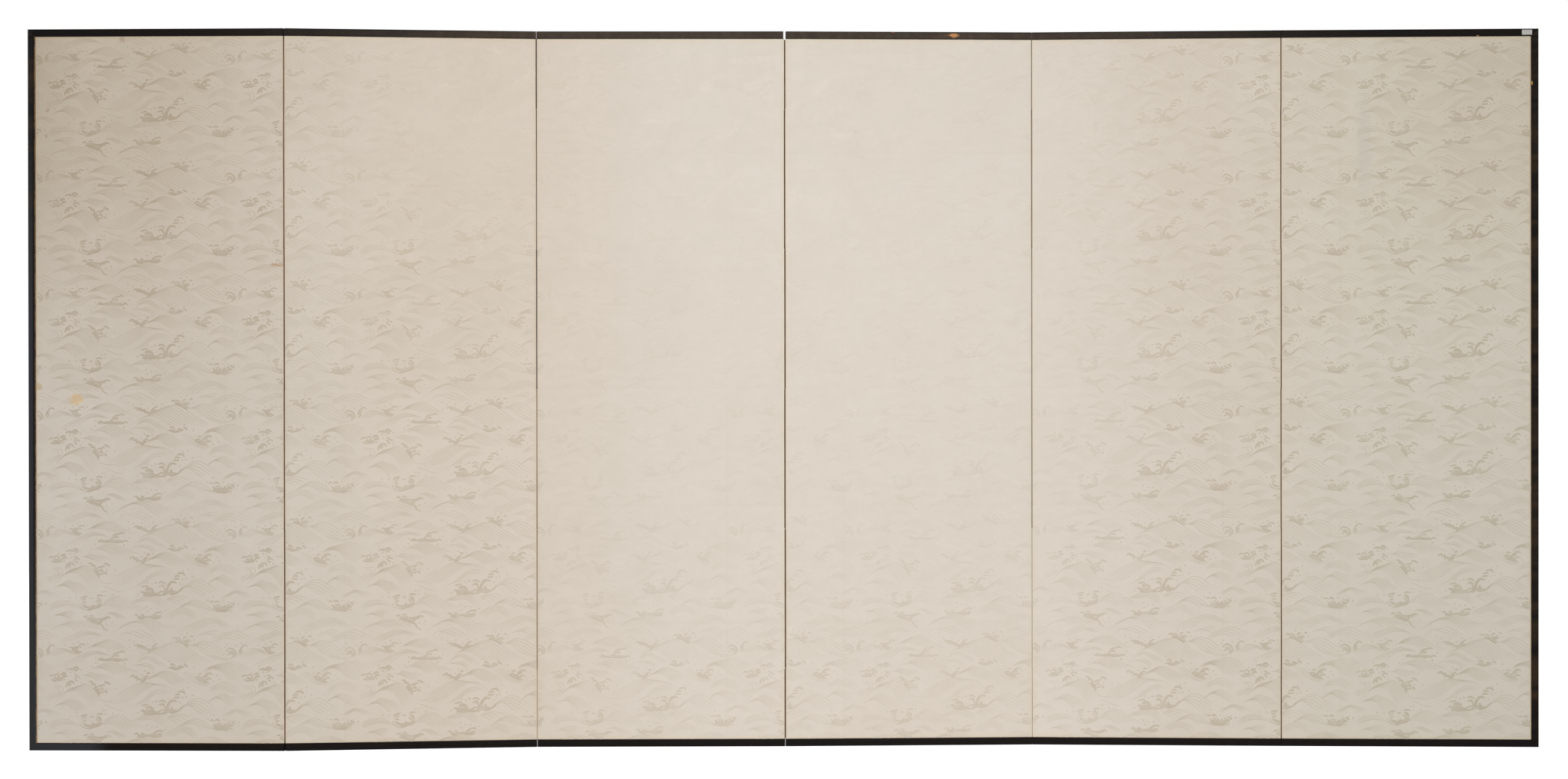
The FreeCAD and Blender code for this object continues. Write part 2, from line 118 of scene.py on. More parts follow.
# Swell lines: how many lines, then the uppermost and the lowest; the others lie evenly between.
# A line that starts with a bar carries on the row above it.
SWELLS = """
5|62,277 85,280 112,277 135,268 157,258|28,254 37,261 51,268 63,270 76,267 87,261 97,256
4|51,232 76,244 93,250 107,256 122,255 140,251 158,243|65,229 85,235 99,241 115,246 127,247 142,245 152,242
4|21,195 34,203 42,210 52,215 65,213 78,210 89,206 97,200|40,196 51,200 59,205 71,206 82,202 93,198
4|51,171 76,185 99,196 117,204 132,208 150,206 162,203|93,176 110,188 125,198 140,201 158,200 176,196
6|110,212 125,217 140,226 160,233 173,234 185,230 207,217 221,210 238,203|126,217 145,219 160,216 176,209
7|122,161 134,168 150,174 162,179 180,181 195,176 215,167 241,157|155,168 165,163 176,157 186,150
5|100,150 117,151 122,156 135,155 150,152 163,150 178,143|118,150 128,145 140,140 150,136
8|59,105 70,114 80,120 96,124 113,130 125,126 135,115 145,103 156,90
|39,83 48,93 59,103 70,110 82,113 93,112 104,106 113,95 121,83 132,72
3|20,98 32,103 45,107 57,110|24,90 37,95 51,101 60,107
7|35,72 45,79 59,85 70,92 80,93 92,88 99,88 113,76 127,64|62,83 71,79 82,71 92,62
4|437,51 449,58 460,64 470,69 480,69 491,66 502,62 516,55|450,51 460,58 471,64 481,62 488,57 497,50
5|25,31 34,37 45,43 56,45 76,44 87,38 99,31 110,24|27,22 40,27 51,31 62,34 72,37
5|34,6 40,10 51,14 62,17 71,19 85,19 97,14|51,12 62,9 73,4 80,0
5|175,250 190,257 200,266 215,274 235,281 258,283 280,280 300,270 320,265 336,264
|206,267 218,273 231,276 245,274 257,270 270,260 281,252 293,248
3|233,254 244,258 255,253 270,245 282,239|190,237 200,245 205,251 218,251 232,246 247,241 262,235
9|292,220 310,226 335,229 352,220 370,207 392,193 416,181
|238,190 252,199 268,203 284,202 300,193 318,182 332,176
3|238,186 250,192 261,196 272,194 285,186 300,177 312,170|235,178 247,186 260,190 270,187 281,180 295,171
3|221,169 232,175 247,176 261,178 272,174 286,165|250,172 263,171 272,165 280,160
1|221,167 230,161 241,158|221,167 230,161 241,158
7|261,142 281,152 294,159 311,160 324,155 338,147 352,140 366,131
|262,140 278,146 291,147 302,140 316,132 330,127
3|340,157 350,158 360,156 371,149 382,139 397,132 423,130|346,150 358,144 370,136 386,129 409,123
6|175,103 190,106 204,113 221,121 233,128 247,133 261,133 275,128
|169,86 183,83 200,85 218,90 235,100 250,112 264,121 278,127 292,128 307,126 320,117 330,107
2|148,93 160,88 172,87 188,88|156,81 168,77 190,68 209,66
3|221,73 238,82 250,89 261,100 275,110 289,116 305,114 322,106|250,82 262,92 275,102 289,107 305,107
6|160,44 172,50 184,55 195,56 205,53 216,45 230,37 261,23|148,31 160,34 176,34 190,28 202,20
4|222,42 238,48 252,53 269,57 283,55 297,48 310,42|227,40 241,43 255,44 265,46 276,44 290,36 304,29
4|160,10 169,16 180,18 191,15 204,8 218,0|176,14 187,9 196,2
4|327,253 341,257 352,264 366,270 380,277 395,283 412,286 430,283 445,276 458,268 466,266
|368,253 380,258 395,267 409,273 423,275 437,271 450,265
3|380,243 395,250 409,254 420,257 437,253|404,250 417,246 428,241
5|364,224 378,225 388,230 397,232 407,230 419,226 431,217 445,209 455,208
|364,215 367,219 380,219 392,209 406,199 420,192 434,188
2|406,200 420,195 434,192 455,190 468,193 480,199|425,190 440,187 458,187
4|410,229 423,239 437,247 450,252 460,253 470,257 480,255 494,248 505,243 520,241
|421,226 431,233 445,238 455,239 470,236 482,232
8|395,155 400,164 413,171 427,175 444,179 456,182 470,182 482,178 494,171 508,165
|403,160 417,166 427,165 437,161 451,149 466,141 481,138
4|407,114 420,124 437,132 449,133 460,130 471,123 481,119|410,108 420,115 434,119 449,117 460,112 477,107
5|407,86 415,93 423,98 434,103 443,106 453,102 464,98 474,97|409,85 419,94 430,96 444,89 456,82 474,77
5|335,62 342,68 350,79 361,86 372,93 380,95 395,93 407,85 423,74 437,66|351,78 361,79 375,71 386,62 400,58
4|309,48 320,54 335,57 352,55 366,48|307,50 320,44 335,36
4|337,28 347,36 359,41 368,45 379,47 395,41 409,31 420,24 440,19 460,18 475,14
|338,26 350,33 366,36 380,31 397,20
4|296,6 307,11 321,20 337,27 348,28 364,23 382,13|313,2 324,7 334,12 345,15 355,13 369,6 380,0
"""

# Foam strokes: the width of the brush mark, then its path.
FOAM_FULLNESS = 1.25                        # how far the ink spread beyond the carved strokes
FOAM = """
4|451,206 453,212 459,215 466,213 471,209 474,203 473,198 464,194
3|453,199 460,200.5
3.5|481,203 484,213 488,217 492,222 498,222 502,218
3|481,199 491,206
4|76,218 83,215 87.5,207.5 96,200.5
3|82,216 93,217 100,219 107,216
3|99,222 104,224.5 111,224 114,221
2.5|92,206 94.5,209 99,207.5
3.5|97,200.5 103,205 107,206
4|145,185 150,190 158,189
4|148,185 156,188.5 163,185 176,186 185,185 196,183.6 200,185
3.5|175,189 180,195 189,198 194,194
4|180,199 189,204 197,205 203,207.5 209,204
4|200,183.6 206,186 211,189 218,186
4|206,178 210,176.5
3.5|230,219.5 235,223 241,221.6 249,221.6 252,219
3|238,220 242,215
3.5|247,215 254,218 261,217
4|256.5,210 264,213 271,210
4.5|265,202 269,207.5 276,212 282,213 289,217
3.5|272,213 276,219 283,224.5 289,226
3.5|321,237 326,240 330,237
3|330,236 335,240 341,237 340,233
4|328,230 335,230 344,227 352,222 358,217
4|348,237 351,241 356.5,243
2.5|348,236 352,231.5 354,223
3|362,239 359,231.5 358,223 358,219
3.5|364,243 368,243.5 372,241
3|361,230 366,233
3|358,220 364,223
4|317,174 321,177 326,175 328,170
3.5|311,167 317,169 321,166 330,164 338,166 342,164
3.5|335,172 342,172 349.5,169
4|349,175 355,174 359,169.5
3.5|383,152 388,155 393,152.5
4|377,146 383,147 389,148
4.5|378,145.5 383,141 392,137 400,135 409,133.5
5|393,141 400,150 407,155 414,155 417,151
4|400,136 404.5,141 410,143 416,141
4|220.5,145 225,149 232.5,150.4
4|231,144 240,147.6
4|235,138 240,140
4.5|240,141 247,140 249.5,134
5|247,134 254,137 259,143 255,145.5
4|255,145 261,148 266,147.6
4.5|261,153 265,156 269,154
4|122,134 127,135.6 132.6,131 130.5,126
3|131,127 137,130 139,124 135,120
4|132.6,119 138,116 142.5,109 148,99
3.5|142.5,121.5 149.5,126 156.6,123
3|141,112 147,117 149.5,114.5
3.5|147,100 148,107 154,110 159,109
4.5|159,134 166,133 174,128
3.5|152,124 158,128.6 162,126
4|159,111 163,112 167,107
4|248,78.5 255,79 261,81 265,78.5
5|246,65 251,66.5 256,64 256,57
3.5|258,72 265,76 273,74 277,68 275,59.5
3|267,62 270,66.5 272,61
5|252,57 261,58 272,57 283,59.5 295,58 303,64
4|280.5,64 286,62 292,65 297,68 303,66.5
4|280.5,89 285,88
4|290,87 296,90.5 302,89 307,85
4|290,79 296,81 302,79 303,74
3.5|300,59.5 304,64 304,74 300,79
6|311,62 310,71 313,81 317,88 324,90.5 333,88
6|320,76 321,68 325.5,62
4|314,62 321,60 330,63 337,66.5 344,74 349.5,79
4|325,96 331,97.5 340,97.5
4|328,102 334,105 341,103
4.5|334,109.5 342,112 349.5,110 352,105
4|103,49.6 107,53 113,55 117,52
3.5|110,54 120,56.6
3|125.5,51 134,51
4|141,56.6 149.5,58.7 156.6,56.6
3.5|141,49.6 144,52 149.5,49.6 152,42.5 149.5,37
3|140,48 142.5,42.5 148,40
3.5|107,40 113,42 117,41
4|110,31 114,32 117,28
4.5|116,23 124,23 135,27 147,30 155,37
3.5|130,30 132.6,35.5 135,32.6
2|101.5,34 106,28 117,23
5|116,281 127,281 135,279.5 147,275 154,270 159,264
4|148,274 152,278 156,279.5
3|155,265 160.6,260 169,255.5
4|110,6 116,8 120,9.4
3|124,8.7 131,10 135,6
4|144,0 151,2 159,1.6
4.5|155,1.6 162,4.5 169,6 175,3
3.5|231,9.4 235,12 240,10 238,6
3.5|247,11.5 252,11.5 255,7
4|238,4.5 247,3 255,1.6
5|261,4.5 268,6.6 275,3.7 286,3.7 297,6.6
4|275,10 280.5,14 286,17 292,19
4|289,17 295,18.5 299.5,15
3.5|411,42 416,44 421,42
4|423.5,41 428.5,45 435.5,41
4|419,34 423,31 424,25.6
3|427,37 431,34 435.5,37
5.5|420,27 428.5,22 438,21.4 448,21.4 455,23 459,24
3.5|435.5,30 440,35.5
4|443,28 450,35.5
4|453,37 459,34 462,28
4.5|461,40 467,38 472,34
3|460,23 466,23
4|28,146 32,150 39.5,150
3.5|41,147 42,151 48,152.5 52,149 52,143
2|43.7,147 44.4,141
2|48,147 48.7,141
4|32,141 39.5,137 48,138 56,137
4|56,137 59,144 65,147 72,147
4.5|56,150 61,155 69,155
3|61,138 66,141
4|69,162 73,165 83,167
5|85,167 92,169.5 100,164
3|76,158 81,157
3.5|87,141 93,145 100,145.5 102,141
4|90,140 97,136
5|68,120 70.5,128.6 76,134 83,135.6 89,128.6
4|75,124 79,128.6
1.2|34,123 48,124 58,123 61,116 58,109 48,106
1.2|39.5,120 48,119 52,114.5 49,109
"""

# The crests' bodies under the foam strokes, in thinner ink: width, then path.
WASH = """
9|456,206 464,204 470,199
6|484,205 489,213
8|88,212 94,207 101,206
6|86,214 98,214
7|152,186 163,187 176,189 190,188 204,188
6|184,196 194,199
7|240,219 252,216 262,212 268,207
7|268,208 276,214 284,218
8|330,233 340,232 350,227 357,221
7|354,236 358,228
6|318,171 328,167 340,168 350,170
9|386,145 396,140 404,138
8|400,147 408,150
6|228,147 238,144 246,138
6|250,138 256,146
9|136,124 142,116 148,106
7|150,121 158,114
6|128,131 136,127
10|252,62 262,64 275,62 288,60
9|258,72 268,73 277,70
10|300,58 312,66 322,66 335,64
8|308,66 312,80 320,90
5|296,84 304,80
8|108,36 118,30 130,29 142,33 152,38
6|144,48 150,44
5|106,46 116,50
7|124,279 136,276 148,271
7|118,286 135,285 152,282 166,285
7|240,7 255,6 270,7 285,8 296,11
9|424,30 436,27 450,28 460,30 467,33
7|38,143 48,142 58,141
7|60,149 70,150
7|76,164 88,164 96,160
8|72,126 80,132
5|88,150 96,150
"""

# Spray drops: the middles of small round marks.
DROPS = """
452,224 447,217 444.5,199 473,220 487.5,227 66,222 85,224.5 97,230 120,225 140,191 139,179 130,172
220.5,196 220.5,217 218,234 230,229 250,230 266,222 278,231.5 298,231 344,248 358,251 374,234 374,169
352,181 315,184 376,154 428,150 434,141 421,136 256.5,160 249.5,150 275.5,157 165.5,118 186,119 264,88
274,85.5 240,61 349,117 360,121 371,103 355,99 347,97 341,85 92,62 78,52 94,52 156,66.5 163,67 162,58
180,59.5 102,36 165,272 179,276 261,31 273,27 285,27 264,20 305,22 420,56 407,46 444,45 457,42
470,42.5 480,38 69,172 51,158 104,162 82,148 87.5,157 104,133.5 125,135 20,38
"""


# ------------------------------------------------------------------ what a user would change

class ByobuSizes(bpy.types.PropertyGroup):
    sheet_step: FloatProperty(name="Sheet grid", description="Spacing of the papers' mesh rows, mm",
                              default=14.0, min=6.0, max=40.0)
    cockle: FloatProperty(name="Cockle", description="How far the pasted papers swell and sink, mm",
                          default=0.14, min=0.0, max=0.2)
    paper_thickness: FloatProperty(name="Paper thickness", description="Back paper and leaf ground, mm",
                                   default=0.35, min=0.1, max=0.5)
    edge_near: FloatVectorProperty(name="Near paper edges", size=5, default=(0.10, 0.08, 0.85, 0.08, 0.75),
                                   description="From each fold line to the edge paper, where its strip "
                                               "leaves this panel, mm")
    edge_far: FloatVectorProperty(name="Far paper edges", size=5, default=(0.35, 0.28, 1.35, 0.28, 1.15),
                                  description="From each fold line to the edge paper, where its strip "
                                              "leaves the other panel, mm")
    edge_round: FloatProperty(name="Edge rounding", description="Radius of the papers' folded edges, mm",
                              default=0.5, min=0.3, max=1.5)
    swell_width: FloatProperty(name="Swell line", description="Width of the printed swell lines, mm",
                               default=1.5, min=0.5, max=3.0)
    drop_radius: FloatProperty(name="Spray drop", description="Radius of the printed spray drops, mm",
                               default=2.3, min=0.5, max=4.0)
    ink_height: FloatProperty(name="Ink height", description="How far the mica ink stands on the paper, mm",
                              default=0.055, min=0.02, max=0.3)
    leaf_square: FloatProperty(name="Leaf square", description="Side of one gold leaf, mm",
                               default=105.0, min=60.0, max=130.0)


class ByobuColours(bpy.types.PropertyGroup):
    paper: FloatVectorProperty(name="Back paper", description="Colour of the clean back paper",
                               subtype="COLOR", size=3, default=(0.732, 0.680, 0.610))
    aged_paper: FloatVectorProperty(name="Aged paper", description="Colour of the yellowed margins",
                                    subtype="COLOR", size=3, default=(0.735, 0.650, 0.520))
    ink: FloatVectorProperty(name="Mica ink", description="Colour of the printed swell lines",
                             subtype="COLOR", size=3, default=(0.598, 0.528, 0.428))
    foam_ink: FloatVectorProperty(name="Foam ink", description="Colour of the printed foam and drops",
                                  subtype="COLOR", size=3, default=(0.590, 0.516, 0.413))
    wash_ink: FloatVectorProperty(name="Thin foam ink", description="Colour of the thin washes in the crests",
                                  subtype="COLOR", size=3, default=(0.612, 0.545, 0.447))
    hinge: FloatVectorProperty(name="Hinge paper", description="Colour of the handled hinge papers",
                               subtype="COLOR", size=3, default=(0.560, 0.370, 0.255))
    gold: FloatVectorProperty(name="Gold leaf", description="Colour of the leaf",
                              subtype="COLOR", size=3, default=(0.780, 0.520, 0.180))
    brocade: FloatVectorProperty(name="Brocade ground", description="Colour of the border cloth",
                                 subtype="COLOR", size=3, default=(0.022, 0.048, 0.034))
    brocade_figure: FloatVectorProperty(name="Brocade figure", description="Colour of the woven lozenges",
                                        subtype="COLOR", size=3, default=(0.330, 0.225, 0.075))
    lacquer: FloatVectorProperty(name="Lacquer", description="Colour of the black lacquer",
                                 subtype="COLOR", size=3, default=(0.0065, 0.0048, 0.0040))
    lacquer_worn: FloatVectorProperty(name="Worn lacquer", description="Brown that shows on handled edges",
                                      subtype="COLOR", size=3, default=(0.022, 0.013, 0.009))
    lacquer_rubbed: FloatVectorProperty(name="Rubbed end rail edge",
                                        description="Brown along the left end rail's inner edge",
                                        subtype="COLOR", size=3, default=(0.260, 0.150, 0.060))
    cedar: FloatVectorProperty(name="Cedar", description="Colour of the bare lattice wood",
                               subtype="COLOR", size=3, default=(0.420, 0.230, 0.110))
    bamboo: FloatVectorProperty(name="Bamboo", description="Colour of the pegs",
                                subtype="COLOR", size=3, default=(0.480, 0.330, 0.140))
    undercoat: FloatVectorProperty(name="Undercoat paper", description="Colour of the hidden papers",
                                   subtype="COLOR", size=3, default=(0.480, 0.400, 0.270))
    card: FloatVectorProperty(name="Label card", description="Colour of the blank label",
                              subtype="COLOR", size=3, default=(0.520, 0.510, 0.470))


class ByobuStudio(bpy.types.PropertyGroup):
    key_power: FloatProperty(name="Key softbox", description="Softbox above the camera", default=93.0,
                             min=0.0, subtype="POWER", unit="POWER")
    low_power: FloatProperty(name="Low softbox", description="Softbox under the camera", default=134.0,
                             min=0.0, subtype="POWER", unit="POWER")
    front_power: FloatProperty(name="Front softbox", description="Softbox on the gold front's side",
                               default=110.0, min=0.0, subtype="POWER", unit="POWER")
    room_light: FloatProperty(name="Room light", description="Strength of the even white room", default=0.05,
                              min=0.0, max=2.0)
    floor_glow: FloatProperty(name="Floor glow", description="Light that the pale floor adds", default=0.22,
                              min=0.0, max=2.0)
    lens: FloatProperty(name="Lens", description="Focal length of the photograph's view, mm", default=52.84,
                        min=20.0, max=200.0)
    camera_place: FloatVectorProperty(name="Camera place", description="Where the camera stands",
                                      default=(0.012, -5.526, 0.876), subtype="TRANSLATION", unit="LENGTH")
    camera_turn: FloatVectorProperty(name="Camera turn", description="Small tilt, lean and turn from level",
                                     default=(-0.0031, 0.0014, 0.0026), subtype="EULER", unit="ROTATION")


def sizes():
    return bpy.context.scene.byobu_sizes


def colours():
    return bpy.context.scene.byobu_colours


# ------------------------------------------------------------------ places in the frame

def panel_place(number):
    """Where a panel stands: its left fold point and the unit vector along it, both in plan.
    The vector is the long axis of the CAD back paper's corners, and the point lies the paper's known
    offsets from their extremes."""
    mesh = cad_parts[f"panel_{number}_back_paper"].data
    corners = np.empty(len(mesh.vertices) * 3)
    mesh.vertices.foreach_get("co", corners)
    plan = corners.reshape(-1, 3)[:, :2]
    along = np.linalg.eigh(np.cov((plan - plan.mean(0)).T))[1][:, 1]
    along = along * np.sign(along[0])
    front = np.array((-along[1], along[0]))
    run, depth = plan @ along, plan @ front
    middle = (run.min() + run.max()) / 2 - (PAPER_LEFT + PAPER_RIGHT) / 2 * MM
    return along * middle + front * (depth.min() + PAPER_FACE * MM), along


PLACES = {number: panel_place(number) for number in PANELS}


def at_panel(number, x, y, z):
    """Points of a panel's own frame, in mm, as points of the row frame, in metres: the fold point, plus x
    along the panel, plus y towards its front, plus z upwards."""
    start, along = PLACES[number]
    x, y, z = np.broadcast_arrays(x, y, z)
    return np.stack((start[0] + (x * along[0] - y * along[1]) * MM,
                     start[1] + (x * along[1] + y * along[0]) * MM, z * MM), axis=-1)


def fold_side(fold):
    """+1 where the fold line is on the gold front, -1 where it is on the printed back."""
    return 1 if fold % 2 else -1


def has_fold(number, left):
    """True where this side of the panel meets another panel."""
    return number > PANELS[0] if left else number < PANELS[-1]


def strip_ends():
    """Heights in mm where the six hinge strips of a fold start and end."""
    return PAPER_FOOT + np.array(STRIP_SHARES) * (PAPER_HEAD - PAPER_FOOT)


def strip_leaves(number, left, order):
    """True where hinge strip `order` leaves from this side of the panel: strips alternate up the fold."""
    fold = number - 1 if left else number
    return ((order % 2 == 0) == (fold_side(fold) > 0)) == left


# ------------------------------------------------------------------ mesh making

def smooth(t):
    """Smoothstep: 3t^2 - 2t^3 of t held between 0 and 1."""
    t = np.clip(t, 0.0, 1.0)
    return t * t * (3.0 - 2.0 * t)


def lattice(rows, columns, first=0, turned=False):
    """Quads of a grid of rows x columns points, numbered row by row from `first`."""
    point = first + np.arange(rows * columns).reshape(rows, columns)
    quads = np.stack((point[:-1, :-1], point[:-1, 1:], point[1:, 1:], point[1:, :-1]), axis=-1).reshape(-1, 4)
    return quads[:, ::-1] if turned else quads


def new_piece(name, points, quads, finishes, uv=None, finish_of=None):
    """An object from points (N, 3) in metres and quads (M, 4). uv gives each point's place on the flat
    sheet, from 0 to 1, and finish_of each quad's place in the list of finishes."""
    mesh = bpy.data.meshes.new(name)
    mesh.from_pydata(np.ascontiguousarray(points), [], np.ascontiguousarray(quads))
    mesh.polygons.foreach_set("use_smooth", np.ones(len(quads), bool))
    for finish in finishes:
        mesh.materials.append(finish)
    if uv is not None:
        flat_map = mesh.uv_layers.new(name="OFBake")
        flat_map.data.foreach_set("uv", uv[quads.ravel()].astype(np.float32).ravel())
    if finish_of is not None:
        mesh.polygons.foreach_set("material_index", finish_of.astype(np.int32))
    mesh.update()
    piece = bpy.data.objects.new(name, mesh)
    bpy.context.scene.collection.objects.link(piece)
    return piece


def give_wall(piece, thickness, inwards=True):
    """Gives a sheet its thickness, in mm, behind its face."""
    wall = piece.modifiers.new("Thickness", "SOLIDIFY")
    wall.thickness = thickness * MM
    wall.offset = -1.0 if inwards else 1.0
    wall.use_even_offset = False
    return piece


def finish_node(node, *finishes):
    """Puts procedural finishes on a CAD node, in place of its plain ones."""
    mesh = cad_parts[node].data
    mesh.materials.clear()
    for finish in finishes:
        mesh.materials.append(finish)


def cockle(number, side, x, z):
    """How far a pasted paper stands off its mean face, in mm: the shared sum of long sine waves in seeded
    directions, faded out towards the paper's rim."""
    draw = np.random.default_rng(500 + 10 * number + side)
    total = 0.0
    for _ in range(COCKLE_WAVES):
        turn, length, phase = draw.uniform(0, math.tau), draw.uniform(190, 560), draw.uniform(0, math.tau)
        total = total + np.sin((x * math.cos(turn) + z * math.sin(turn)) * math.tau / length + phase)
    rim = np.minimum(np.minimum(x, PITCH - x), np.minimum(z - PAPER_FOOT, PAPER_HEAD - z))
    return sizes().cockle * total / COCKLE_SUM * smooth((rim - COCKLE_STILL) / COCKLE_FADE)


def sheet_heights():
    """Heights in mm of a paper's mesh rows: an even spacing, one row just inside each rim, and a pair of
    rows round each strip's end."""
    s = sizes()
    foot, head = PAPER_FOOT + PAPER_INSET, PAPER_HEAD - PAPER_INSET
    even = np.linspace(foot, head, int(round((head - foot) / s.sheet_step)) + 1)
    ends = strip_ends()[1:-1]
    apart = np.abs(even[:, None] - ends[None, :]).min(1) > 2.5
    rims = (foot + 0.3, head - 0.3)
    return np.sort(np.concatenate((even[apart], rims, ends - STRIP_GAP, ends + STRIP_GAP)))


def edge_apart(number, left, near):
    """How far from the fold line this side's covered edge lies, in mm."""
    fold = number - 1 if left else number
    return (sizes().edge_near if near else sizes().edge_far)[fold - 1]


def edge_line(number, left, z):
    """Distance in mm from the fold line to the panel's covered edge at each height: near where the hinge
    strip leaves this panel and far where it leaves the other."""
    order = np.clip(np.searchsorted(strip_ends(), z) - 1, 0, len(STRIP_SHARES) - 2)
    leaves = np.array([strip_leaves(number, left, k) for k in range(len(STRIP_SHARES) - 1)])
    return np.where(leaves[order], edge_apart(number, left, True), edge_apart(number, left, False))


def paper_side(number, left, z):
    """The rolled long edge of a face paper: a short wall and a quarter circle of the edge radius that
    ends at the face. x is from the fold line and y from the middle plane outwards, in mm. The screen's
    two ends have no roll, because the end rails cover them."""
    rows = z[:, None]
    if not has_fold(number, left):
        x = np.broadcast_to(np.array((END_SIDE, END_FACE)), (len(z), 2))
        return x, np.full_like(x, PAPER_FACE)
    r = sizes().edge_round
    turn = np.linspace(0.0, math.pi / 2, 6)[None, :]
    start = edge_line(number, left, z)[:, None]
    x = np.concatenate((start, start + r * (1 - np.cos(turn))), axis=1)
    y = np.concatenate((np.full_like(rows, ROLL_START), PAPER_FACE - r + r * np.sin(turn) + 0 * rows), axis=1)
    return x, y


def first_block(number):
    """Where the lowest left block of a panel starts, and the block's width on the damp paper, in mm."""
    return (PAPER_LEFT + BLOCK_START + (BLOCK_SHIFT if number % 2 == 0 else 0.0), PAPER_FOOT + BLOCK_RISE,
            BLOCK_WIDTH * BLOCK_STRETCH)


def add_map(piece, name, quads, uv):
    """Adds one more flat map to a piece: `uv` gives each point's place."""
    flat_map = piece.data.uv_layers.new(name=name)
    flat_map.data.foreach_set("uv", uv[quads.ravel()].astype(np.float32).ravel())


def face_paper(name, number, side, finish):
    """A pasted face paper: rows of one profile (roll, flat face, roll) carried up the panel. The flat face
    stands at the paper's face plus the cockle; side is +1 for the front and -1 for the back."""
    z = sheet_heights()
    left_x, left_y = paper_side(number, True, z)
    right_x, right_y = paper_side(number, False, z)
    right_x = PITCH - right_x
    share = np.linspace(0, 1, int(round(PITCH / sizes().sheet_step)) + 1)[None, 1:-1]
    face_x = left_x[:, -1:] + (right_x[:, -1:] - left_x[:, -1:]) * share
    face_y = np.full_like(face_x, PAPER_FACE)
    x = np.concatenate((left_x, face_x, right_x[:, ::-1]), axis=1)
    y = np.concatenate((left_y, face_y, right_y[:, ::-1]), axis=1)
    rows = np.broadcast_to(z[:, None], x.shape)
    y = y + cockle(number, side, x, rows)
    step_x, step_y = (np.diff(v, axis=1, prepend=v[:, :1]) for v in (x, y))
    run = np.cumsum(np.hypot(step_x, step_y), axis=1)
    uv = np.stack((run / run[:, -1:], (rows - PAPER_FOOT) / (PAPER_HEAD - PAPER_FOOT)), axis=-1)
    quads = lattice(*x.shape, turned=side > 0)
    piece = new_piece(name, at_panel(number, x, side * y, rows).reshape(-1, 3), quads, [finish],
                      uv.reshape(-1, 2))
    if side < 0:
        left, foot, width = first_block(number)
        sheets = np.stack(((x - left - SHEET_CORNER[0]) / width + 10.0 * number,
                           (rows - foot - SHEET_CORNER[1]) / BLOCK_HEIGHT + 10.0), axis=-1)
        add_map(piece, "Sheets", quads, sheets.reshape(-1, 2))
    return give_wall(piece, sizes().paper_thickness)


# ------------------------------------------------------------------ the printed waves

def read_points(text):
    """Points written as x,z pairs, in mm, as an array."""
    return np.array([[float(v) for v in pair.split(",")] for pair in text.split()])


def read_marks(text):
    """The pattern's rows as (number, [paths]): each path an array of points (x, z) in mm. A line that
    starts with a bar carries on the row above it."""
    rows = [row.split("|") for row in text.replace("\n|", "|").split("\n") if row]
    return [(float(number), [read_points(path) for path in paths]) for number, *paths in rows]


def single_marks(text):
    """Rows of one path each, as their even paths and their widths in mm."""
    rows = read_marks(text)
    return (np.array([even_path(paths[0], MARK_POINTS) for _, paths in rows]),
            np.array([width for width, _ in rows]))


def even_path(points, count):
    """`count` points evenly along a smooth curve: a cubic Hermite curve through the points, whose slopes
    are the chords of their neighbours, sampled finely and then shared out by arc length."""
    slope = np.gradient(points, axis=0) if len(points) > 2 else np.repeat(np.diff(points, axis=0), 2, axis=0)
    t = np.linspace(0, 1, 9)[None, :, None]
    p, q = points[:-1, None, :], points[1:, None, :]
    m, n = slope[:-1, None, :], slope[1:, None, :]
    fine = (p * (2 * t**3 - 3 * t**2 + 1) + m * (t**3 - 2 * t**2 + t)
            + q * (3 * t**2 - 2 * t**3) + n * (t**3 - t**2)).reshape(-1, 2)
    run = np.concatenate(([0.0], np.cumsum(np.hypot(*np.diff(fine, axis=0).T))))
    at = np.linspace(0, run[-1], count)
    return np.stack((np.interp(at, run, fine[:, 0]), np.interp(at, run, fine[:, 1])), axis=1)


def brush_marks(paths, widths, ends):
    """Flat brush marks on the block: `paths` is (marks, points, 2) in mm. Across each path lie three
    points, half a width to each side and the middle one, and the width tapers towards both ends to its
    share `ends`. Gives points (x, z, rise) with the rise 1 in the middle and 0 at the rims, and quads."""
    marks, count = paths.shape[:2]
    way = np.gradient(paths, axis=1)
    way = way / np.maximum(np.linalg.norm(way, axis=2, keepdims=True), 1e-9)
    t = np.linspace(0, 1, count)
    taper = ends + (1 - ends) * smooth(np.minimum(t, 1 - t) / TAPER)
    half = (widths[:, None] / 2 * taper[None, :])[:, :, None]
    across = np.stack((-way[..., 1], way[..., 0]), axis=-1) * half
    flat = np.stack((paths - across, paths, paths + across), axis=2)
    rise = np.broadcast_to(np.array((0.0, 1.0, 0.0)), flat.shape[:3])
    points = np.concatenate((flat, rise[..., None]), axis=-1).reshape(-1, 3)
    one = lattice(count, 3)
    quads = (np.arange(marks)[:, None, None] * count * 3 + one[None]).reshape(-1, 4)
    return points, quads


def drops(middles, radius):
    """Round spray drops as low six-sided domes: a middle point and six rim points, in three quads."""
    turn = np.arange(6) * math.tau / 6
    rim = middles[:, None, :] + radius * np.stack((np.cos(turn), np.sin(turn)), axis=-1)[None]
    flat = np.concatenate((middles[:, None, :], rim), axis=1)
    rise = np.broadcast_to(np.array((1.0,) + (0.0,) * 6), flat.shape[:2])
    points = np.concatenate((flat, rise[..., None]), axis=-1).reshape(-1, 3)
    one = np.array(((0, 1, 2, 3), (0, 3, 4, 5), (0, 5, 6, 1)))
    quads = (np.arange(len(middles))[:, None, None] * 7 + one[None]).reshape(-1, 4)
    return points, quads


